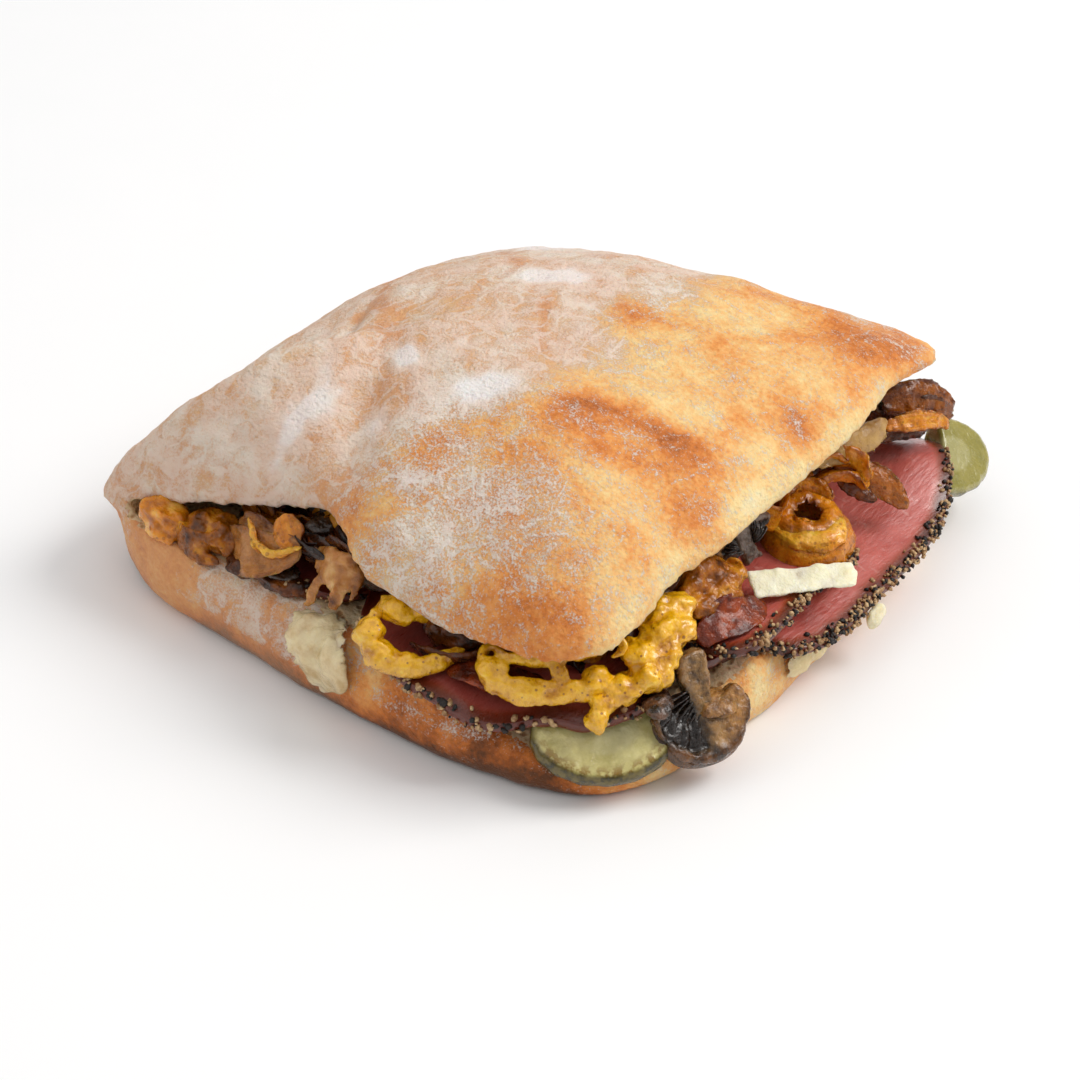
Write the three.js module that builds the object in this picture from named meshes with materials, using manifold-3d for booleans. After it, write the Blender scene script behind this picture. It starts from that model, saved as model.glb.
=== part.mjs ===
// A roast beef ciabatta sandwich, in millimetres, +Z up.
// The roll is one piece of bread: it is sliced from the +X side and stays joined along its -X side,
// so the lid opens like a book. Pickles, cheese, four slices of pepper-crusted beef and a heap of
// fried onions and mushrooms fill the wedge, and some of the filling hangs out of the open sides.
// Everything is laid out about the middle of the bread, and the last lines shift the finished group
// so that its origin is the bottom centre of the whole sandwich.
import * as THREE from "three";
import { mergeVertices } from "three/addons/utils/BufferGeometryUtils.js";
import Module from "manifold-3d";

const wasm = await Module();
wasm.setup();

// ---- Driving dimensions ------------------------------------------------------------------------

const GAP = 0.6; // air between the layers of the stack
const CLEAR = 0.3; // air kept round a piece that its neighbours are carved to fit
const SPOKES = 48; // directions in which the bread is sampled
const BEEF = 1.8; // thickness of a slice of beef
const LAYER = BEEF + GAP; // height that each slice adds to the stack
const CROWN_POWER = 2.5; // power of the dome about its middle, the same all round
const DROOP = 0.3; // fall of a layer for each millimetre past the bread's rim
const HINGE = 1.2; // height between the two cut faces at which the halves join

// Each half of the roll is a rounded rectangle seen from above: a superellipse with a higher power
// for squarer corners. Its rim stations are [compass degrees, push outwards, rim height, form]. The
// base's form is how far its wall bellies out past the rim, and the lid's is the power of its dome:
// a higher one gives a fuller shoulder.
const BASE = {
  x: 3.5,
  y: -2,
  halfX: 73.5,
  halfY: 69,
  power: 6,
  middle: 18.5,
  flatness: 4,
  foot: 0.92,
  belt: 0.5,
  rim: [
    [-180, 1, 18, 2],
    [-145, 13.5, 18, -5.5],
    [-134, 5, 19, 0],
    [-115, -3, 20.5, 6.5],
    [-85, -1, 19, 6],
    [-66, 0, 15.5, 4.5],
    [-46, -4, 7.5, 3.5],
    [-28, -2, 13, 3],
    [-10, 0, 16, 3],
    [45, -4, 15, 3],
    [90, -1, 17, 3],
    [135, -2, 17, 3],
  ],
};
const LID = {
  x: 0.5,
  y: 0.5,
  halfX: 70.5,
  halfY: 68.5,
  power: 8,
  middle: 43,
  flatness: 2.2,
  crust: 2.2,
  crown: 64.7,
  fall: 0.66,
  rim: [
    [-180, 2, 13, 3.0],
    [-150, 10, 14, 1.8],
    [-139, 11, 16, 1.9],
    [-132, 2, 24, 3.2],
    [-123, -2, 30, 2.8],
    [-105, -6, 38, 2.6],
    [-96, -6, 40, 2.6],
    [-80, 3, 36, 2.5],
    [-65, 3, 33, 2.5],
    [-54, 3, 34, 2.4],
    [-43, 1, 37, 2.2],
    [-31, -4, 40.5, 2.3],
    [-18, -1.5, 43, 2.4],
    [8, -1, 43, 2.4],
    [25, 1, 43.5, 2.3],
    [37, -3, 45, 2.0],
    [46, 4, 45, 1.3],
    [60, -3, 42, 2.6],
    [75, -6, 43, 2.5],
    [100, -5, 35, 2.5],
    [122, -3, 26, 1.7],
    [136, 0, 16, 1.6],
    [150, 1, 13, 2.1],
  ],
};

// Swells and hollows of the lid: centre, reach along and across, turn in degrees, and lift.
const LID_RELIEF = [
  { x: -40, y: -42, along: 22, across: 15, turn: 20, lift: 1.4 }, // lobe by the closed corner
  { x: -13, y: -44, along: 26, across: 6, turn: 115, lift: -4.5 }, // fold behind the rim's notch
  { x: 28, y: -32, along: 30, across: 20, turn: -20, lift: 3.0 }, // swell above the nose
  { x: -48, y: 10, along: 20, across: 14, turn: 70, lift: -1.5 }, // slack over the hinge
  { x: 46, y: 44, along: 16, across: 9, turn: -40, lift: -1.6 }, // dip behind the far corner
];

// ---- Small maths -------------------------------------------------------------------------------

const radians = THREE.MathUtils.degToRad;
const v = (x, y, z) => new THREE.Vector3(x, y, z);
const route = (...points) => points.map((p) => v(...p));

// A smooth value round the compass through stations [degrees, ...values].
function around(stations, degrees, column) {
  const n = stations.length;
  const turn = ((((degrees - stations[0][0]) % 360) + 360) % 360) + stations[0][0];
  let i = n - 1;
  while (stations[i][0] > turn) i--;
  const pick = (k) => stations[((k % n) + n) % n];
  const angle = (k) => pick(k)[0] + 360 * Math.floor(k / n);
  const slope = (k) => (pick(k + 1)[column] - pick(k - 1)[column]) / (angle(k + 1) - angle(k - 1));
  const span = angle(i + 1) - angle(i);
  const f = (turn - angle(i)) / span;
  const rise = pick(i + 1)[column] - pick(i)[column];
  const a = slope(i) * span - rise;
  const b = rise - slope(i + 1) * span;
  return pick(i)[column] + f * rise + f * (1 - f) * ((1 - f) * a + f * b);
}

function superellipse(degrees, halfX, halfY, power) {
  const c = Math.abs(Math.cos(radians(degrees))) / halfX;
  const s = Math.abs(Math.sin(radians(degrees))) / halfY;
  return (c ** power + s ** power) ** (-1 / power);
}

// Distance from an outline's middle to its rim in one direction.
const reach = (outline, degrees) =>
  superellipse(degrees, outline.halfX, outline.halfY, outline.power) +
  around(outline.rim, degrees, 1);

// Where a plan point lies in an outline: its direction, its distance, and the rim's distance.
function place(outline, x, y) {
  const degrees = THREE.MathUtils.radToDeg(Math.atan2(y - outline.y, x - outline.x));
  return {
    degrees,
    distance: Math.hypot(x - outline.x, y - outline.y),
    rim: reach(outline, degrees),
  };
}

// Height of a half's cut face: level in the middle, bending to the rim's height at t = 1.
function cutHeight(half, degrees, t) {
  const rim = around(half.rim, degrees, 2);
  return half.middle + (rim - half.middle) * Math.min(t, 1) ** half.flatness;
}

// Height of the base's cut face over a plan point, carried on past its rim with a droop.
function bed(x, y) {
  const { degrees, distance, rim } = place(BASE, x, y);
  return cutHeight(BASE, degrees, distance / rim) - DROOP * Math.max(0, distance - rim);
}

// Height of the lid's underside over a plan point.
function ceiling(x, y) {
  const { degrees, distance, rim } = place(LID, x, y);
  return cutHeight(LID, degrees, distance / rim);
}

const bell = (u) => Math.exp(-u * u);
const smooth = (u) => THREE.MathUtils.smoothstep(u, 0, 1);

// Sum of soft swells at a plan point.
function relief(swells, x, y) {
  let sum = 0;
  for (const s of swells) {
    const c = Math.cos(radians(s.turn));
    const d = Math.sin(radians(s.turn));
    const along = ((x - s.x) * c + (y - s.y) * d) / s.along;
    const across = ((y - s.y) * c - (x - s.x) * d) / s.across;
    sum += s.lift * bell(along) * bell(across);
  }
  return sum;
}

// ---- Closed surfaces ---------------------------------------------------------------------------
// Each maker takes a grow distance too: the piece swollen by it, used to keep its neighbours clear.

// A geometry from vertices and faces of three or four corners.
function surface(points, faces) {
  const index = [];
  for (const [a, b, c, d] of faces) {
    index.push(a, b, c);
    if (d !== undefined) index.push(a, c, d);
  }
  const flat = points.flatMap((p) => p.toArray());
  const geometry = new THREE.BufferGeometry();
  geometry.setAttribute("position", new THREE.Float32BufferAttribute(flat, 3));
  geometry.setIndex(index);
  return geometry;
}

// A closed layer over an outline: over(x, y) and under(x, y) give the heights of its two faces.
function layer({ outline, over, under, spokes = 28, steps = [0.6, 0.88, 1], grow = 0 }) {
  const points = [];
  const faces = [];
  const add = (face, swell, x, y) => points.push(v(x, y, face(x, y) + swell)) - 1;
  const top = [];
  const bottom = [];
  const crown = add(over, grow, outline.x, outline.y);
  const sole = add(under, -grow, outline.x, outline.y);
  for (let k = 0; k < spokes; k++) {
    const degrees = -180 + (360 * k) / spokes;
    const far = reach(outline, degrees) + grow;
    const ring = (face, swell) =>
      steps.map((t) => {
        const x = outline.x + far * t * Math.cos(radians(degrees));
        const y = outline.y + far * t * Math.sin(radians(degrees));
        return add(face, swell, x, y);
      });
    top.push(ring(over, grow));
    bottom.push(ring(under, -grow));
  }
  for (let k = 0; k < spokes; k++) {
    const [a, b] = [top[k], top[(k + 1) % spokes]];
    const [c, d] = [bottom[k], bottom[(k + 1) % spokes]];
    faces.push([crown, a[0], b[0]], [sole, d[0], c[0]]);
    for (let j = 1; j < steps.length; j++) {
      faces.push([a[j - 1], a[j], b[j], b[j - 1]]);
      faces.push([d[j - 1], d[j], c[j], c[j - 1]]);
    }
    faces.push([a.at(-1), c.at(-1), d.at(-1), b.at(-1)]);
  }
  return surface(points, faces);
}

// A closed band swept along a smooth path: an oval section wide along its side, thin across it.
// Its side is the part of across square to the path, turned about the path by lean. ends gives the
// section's share of its size at each tip.
function band({
  path,
  wide,
  thick,
  across = [0, 0, 1],
  lean = 0,
  ends = 0.35,
  loop = false,
  stations = 8,
  sides = 6,
  grow = 0,
}) {
  const curve = new THREE.CatmullRomCurve3(path, loop, "centripetal");
  const points = [];
  const faces = [];
  const rings = loop ? stations : stations - 1;
  for (let i = 0; i < stations; i++) {
    const f = i / rings;
    const along = curve.getTangentAt(f);
    const side = v(...across).projectOnPlane(along).normalize();
    side.applyAxisAngle(along, radians(lean));
    const face = new THREE.Vector3().crossVectors(along, side);
    const share = loop ? 1 : ends + (1 - ends) * Math.sin(Math.PI * f) ** 0.6;
    for (let k = 0; k < sides; k++) {
      const a = (2 * Math.PI * k) / sides;
      const p = curve.getPointAt(f);
      p.addScaledVector(side, Math.cos(a) * ((wide * share) / 2 + grow));
      p.addScaledVector(face, Math.sin(a) * ((thick * share) / 2 + grow));
      points.push(p);
    }
  }
  for (let i = 0; i < rings; i++) {
    const a = i * sides;
    const b = ((i + 1) % stations) * sides;
    for (let k = 0; k < sides; k++) {
      const next = (k + 1) % sides;
      faces.push([a + k, a + next, b + next, b + k]);
    }
  }
  if (!loop) {
    const nose = (f, way) => {
      const out = way * (thick / 4 + grow);
      return points.push(curve.getPointAt(f).addScaledVector(curve.getTangentAt(f), out)) - 1;
    };
    const first = nose(0, -1);
    const last = nose(1, 1);
    const end = (stations - 1) * sides;
    for (let k = 0; k < sides; k++) {
      const next = (k + 1) % sides;
      faces.push([first, next, k], [last, end + k, end + next]);
    }
  }
  return surface(points, faces);
}

// A ball stretched to three radii, turned about Z, with soft lumps.
function lump({ at, radii, turn = 0, lumps = 0.14, seed = 1, around = 10, up = 7, grow = 0 }) {
  const geometry = new THREE.SphereGeometry(1, around, up);
  const position = geometry.getAttribute("position");
  for (let i = 0; i < position.count; i++) {
    const p = v(position.getX(i), position.getY(i), position.getZ(i));
    const wave = Math.sin(3 * p.x + seed) * Math.sin(4 * p.y - seed) + Math.sin(3 * p.z + 2 * seed);
    p.multiplyScalar(1 + (lumps * wave) / 2);
    position.setXYZ(i, p.x * (radii[0] + grow), p.y * (radii[1] + grow), p.z * (radii[2] + grow));
  }
  geometry.rotateZ(radians(turn));
  geometry.translate(...at);
  return geometry;
}

// A slab cut to a flat outline, set with its face along normal and its outline's y along up.
// curl bends the slab's rim away from its face.
function slab({ shape, thick, at, normal, up, curl = 0, bevel = 0.6, segments = 6, grow = 0 }) {
  const geometry = new THREE.ExtrudeGeometry(shape, {
    depth: thick - 2 * bevel,
    curveSegments: segments,
    bevelSegments: 1,
    bevelThickness: bevel + grow,
    bevelSize: bevel + grow,
    bevelOffset: -bevel,
  });
  geometry.translate(0, 0, bevel - thick / 2);
  const position = geometry.getAttribute("position");
  for (let i = 0; i < position.count; i++) {
    const square = position.getX(i) ** 2 + position.getY(i) ** 2;
    position.setZ(i, position.getZ(i) - curl * square);
  }
  const face = v(...normal).normalize();
  const side = new THREE.Vector3().crossVectors(v(...up), face).normalize();
  const top = new THREE.Vector3().crossVectors(face, side);
  geometry.applyMatrix4(new THREE.Matrix4().makeBasis(side, top, face));
  geometry.translate(...at);
  return geometry;
}

// ---- Joining and carving -----------------------------------------------------------------------

function solid(geometry) {
  const bare = geometry.clone();
  bare.deleteAttribute("normal");
  bare.deleteAttribute("uv");
  const merged = mergeVertices(bare, 1e-4);
  const vertProperties = new Float32Array(merged.attributes.position.array);
  const triVerts = new Uint32Array(merged.index.array);
  return new wasm.Manifold(new wasm.Mesh({ numProp: 3, vertProperties, triVerts }));
}

function geometryOf(body) {
  const { vertProperties, triVerts } = body.getMesh();
  const geometry = new THREE.BufferGeometry();
  geometry.setAttribute("position", new THREE.BufferAttribute(vertProperties, 3));
  geometry.setIndex(new THREE.BufferAttribute(triVerts, 1));
  const flat = geometry.toNonIndexed();
  flat.computeVertexNormals();
  return flat;
}

// ---- The roll ----------------------------------------------------------------------------------

// Both halves share their spokes. In the open directions each half has a rim of its own, and in the
// closed ones, along the hinge, the cut faces meet in a crease and the crust runs over the seam.
function rollSurface(grow = 0) {
  const points = [];
  const faces = [];
  const cutSteps = [0.5, 0.8, 0.94, 1];
  const domeSteps = [0.22, 0.43, 0.61, 0.76, 0.88, 0.96];
  const sideSteps = [0.4, 1];
  const shoulder = { out: 0.55, up: 0.86 }; // the wall's last ring, as shares of belly and of rim
  const spot = (half, degrees, t, z) => {
    const far = (reach(half, degrees) + grow) * t;
    const x = half.x + far * Math.cos(radians(degrees));
    const y = half.y + far * Math.sin(radians(degrees));
    return points.push(v(x, y, typeof z === "function" ? z(x, y) : z)) - 1;
  };
  const floorZ = (degrees, t) => cutHeight(BASE, degrees, t) + grow;
  const roofZ = (degrees, t) => cutHeight(LID, degrees, t) - grow;
  const dome = (degrees, t) => (x, y) => {
    const edge = cutHeight(LID, degrees, 1) + LID.crust;
    const full = CROWN_POWER + (around(LID.rim, degrees, 3) - CROWN_POWER) * smooth(t / 0.6);
    const swell = relief(LID_RELIEF, x, y) * (1 - t ** 6);
    return edge + (LID.crown - edge) * (1 - t ** full) ** LID.fall + swell + grow;
  };
  const crown = spot(LID, 0, 0, dome(0, 0));
  const roof = spot(LID, 0, 0, roofZ(0, 0));
  const floor = spot(BASE, 0, 0, floorZ(0, 0));
  const sole = spot(BASE, 0, 0, -grow);
  const spokes = [];
  for (let k = 0; k < SPOKES; k++) {
    const degrees = -180 + (360 * k) / SPOKES;
    const shut = (t) => cutHeight(LID, degrees, t) < cutHeight(BASE, degrees, t) + HINGE;
    let crease = 1;
    while (crease > 0.5 && shut(crease)) crease -= 0.005;
    const closed = crease < 1;
    const rim = around(BASE.rim, degrees, 2);
    const s = { closed };
    s.floor = cutSteps.map((t) => spot(BASE, degrees, t * crease, floorZ(degrees, t * crease)));
    s.roof = cutSteps.map((t) => spot(LID, degrees, t * crease, roofZ(degrees, t * crease)));
    const belly = 1 + around(BASE.rim, degrees, 3) / reach(BASE, degrees);
    s.foot = spot(BASE, degrees, BASE.foot * belly, -grow);
    s.side = sideSteps.map((f) => {
      const bow = Math.sqrt(1 - (1 - f) ** 2);
      const z = rim * BASE.belt * (1 - Math.cos((f * Math.PI) / 2));
      return spot(BASE, degrees, belly * (BASE.foot + (1 - BASE.foot) * bow), z);
    });
    s.side.push(spot(BASE, degrees, 1 + (belly - 1) * shoulder.out, rim * shoulder.up));
    s.dome = domeSteps.map((t) => spot(LID, degrees, t, dome(degrees, t)));
    s.edge = spot(LID, degrees, 1, cutHeight(LID, degrees, 1) + LID.crust + grow);
    if (closed) {
      s.roof[s.roof.length - 1] = s.floor.at(-1);
      s.seam = spot(BASE, degrees, 0.995, rim);
    }
    spokes.push(s);
  }
  const strip = (a, b, upward) => {
    for (let j = 1; j < a.length; j++) {
      const quad = [a[j - 1], a[j], b[j], b[j - 1]];
      faces.push(upward ? quad : quad.reverse());
    }
  };
  // What each half's outer wall runs up or down to: its own rim, or the seam where it is closed.
  const low = (s) => (s.closed ? s.seam : s.floor.at(-1));
  const high = (s) => (s.closed ? s.seam : s.roof.at(-1));
  spokes.forEach((a, k) => {
    const b = spokes[(k + 1) % SPOKES];
    faces.push([crown, a.dome[0], b.dome[0]], [floor, a.floor[0], b.floor[0]]);
    faces.push([roof, b.roof[0], a.roof[0]], [sole, b.foot, a.foot]);
    strip([...a.dome, a.edge], [...b.dome, b.edge], true);
    strip(a.floor, b.floor, true);
    strip(a.roof, b.roof, false);
    strip([a.foot, ...a.side], [b.foot, ...b.side], false);
    faces.push([a.side.at(-1), b.side.at(-1), low(b), low(a)]);
    faces.push([high(a), high(b), b.edge, a.edge]);
    if (a.closed && !b.closed)
      faces.push([a.seam, b.floor.at(-1), a.floor.at(-1)], [a.seam, a.floor.at(-1), b.roof.at(-1)]);
    if (!a.closed && b.closed)
      faces.push([b.seam, b.floor.at(-1), a.floor.at(-1)], [b.seam, a.roof.at(-1), b.floor.at(-1)]);
  });
  return surface(points, faces);
}

// ---- The beef ----------------------------------------------------------------------------------

// Each slice lies on the bed at its own level of the stack. swells lift it over what lies below.
const BEEF_SLICES = {
  beef_slice_lower: {
    level: 0,
    outline: {
      x: 42,
      y: 12,
      halfX: 43,
      halfY: 62,
      power: 3.4,
      rim: [
        [-180, -4],
        [-90, 0],
        [-62, -8],
        [-45, -10],
        [-30, -1],
        [-15, 1],
        [0, 0],
        [25, -1],
        [45, 1],
        [60, 4],
        [80, 2],
        [120, 0],
      ],
    },
    swells: [{ x: 74, y: 62, along: 18, across: 14, turn: 45, lift: 6.5 }],
  },
  beef_slice_left: {
    level: 0,
    outline: {
      x: -24,
      y: -4,
      halfX: 26,
      halfY: 66,
      power: 2.8,
      rim: [
        [-180, 0],
        [-110, -4],
        [-80, -2],
        [-66, 7],
        [-58, -4],
        [-30, -4],
        [0, -4],
        [60, -4],
        [100, 0],
        [130, -6],
      ],
    },
    swells: [],
  },
  beef_slice_front: {
    level: 1,
    outline: {
      x: 36,
      y: -34,
      halfX: 43,
      halfY: 43.5,
      power: 2.2,
      rim: [
        [-180, -6],
        [-140, -1],
        [-120, 2],
        [-95, 0],
        [-75, -1],
        [-60, -6],
        [-45, -5],
        [-30, -4],
        [-12, -7],
        [10, -4],
        [60, -4],
        [120, -6],
      ],
    },
    swells: [{ x: 64, y: -57, along: 26, across: 19, turn: 45, lift: 6 }],
  },
  beef_slice_upper: {
    level: 2,
    outline: {
      x: 34,
      y: -6,
      halfX: 47,
      halfY: 36,
      power: 3,
      rim: [
        [-180, -6],
        [-90, -2],
        [-50, -10],
        [-30, 3],
        [-20, 3],
        [0, -1],
        [14, -1],
        [28, 2],
        [50, -2],
        [120, -4],
      ],
    },
    swells: [
      { x: 84, y: -14, along: 28, across: 9, turn: 85, lift: 4.5 },
      { x: 78, y: -40, along: 14, across: 12, turn: 45, lift: 2.5 },
    ],
  },
};

function beefSlice({ level, outline, swells }, grow = 0) {
  const under = (x, y) => bed(x, y) + GAP + level * LAYER + relief(swells, x, y);
  const over = (x, y) => under(x, y) + BEEF;
  return layer({ outline, over, under, grow });
}

// ---- The heap ----------------------------------------------------------------------------------

// The heap of fried onions and mushrooms fills the wedge between the beef and the lid.
const HEAP = {
  outline: {
    x: 6,
    y: 0,
    halfX: 57,
    halfY: 60,
    power: 4,
    rim: [
      [-180, -6],
      [-150, -6],
      [-135, 0],
      [-112, 2],
      [-100, -1],
      [-84, 2],
      [-66, -1],
      [-50, -2],
      [-38, 3],
      [-20, 0],
      [-5, -1],
      [12, 1],
      [30, -2],
      [44, 5],
      [70, 0],
      [90, -2],
      [110, 0],
      [135, -6],
    ],
  },
};

function heap(grow = 0) {
  const under = (x, y) => bed(x, y) + GAP + 3 * LAYER;
  const over = (x, y) => Math.max(under(x, y) + 1, ceiling(x, y) - 3 * GAP);
  return layer({
    outline: HEAP.outline,
    over,
    under,
    spokes: 24,
    steps: [0.5, 0.85, 1],
    grow,
  });
}

// ---- The small pieces --------------------------------------------------------------------------

function oval(halfX, halfY) {
  return new THREE.Shape().absellipse(0, 0, halfX, halfY, 0, 2 * Math.PI, false, 0);
}

// A mushroom cut through cap and stem, the cap's curled rims pointing down at each side.
function mushroomProfile(wide, tall) {
  const half = wide / 2;
  const stem = wide * 0.16;
  const shape = new THREE.Shape();
  shape.moveTo(-stem, 0);
  shape.lineTo(stem, 0);
  shape.lineTo(stem * 0.85, tall * 0.5);
  shape.lineTo(half * 0.8, tall * 0.36);
  shape.quadraticCurveTo(half * 1.08, tall * 0.42, half, tall * 0.62);
  shape.bezierCurveTo(half * 0.8, tall * 1.1, -half * 0.8, tall * 1.1, -half, tall * 0.62);
  shape.quadraticCurveTo(-half * 1.08, tall * 0.42, -half * 0.8, tall * 0.36);
  shape.lineTo(-stem * 0.85, tall * 0.5);
  shape.closePath();
  return shape;
}

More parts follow.
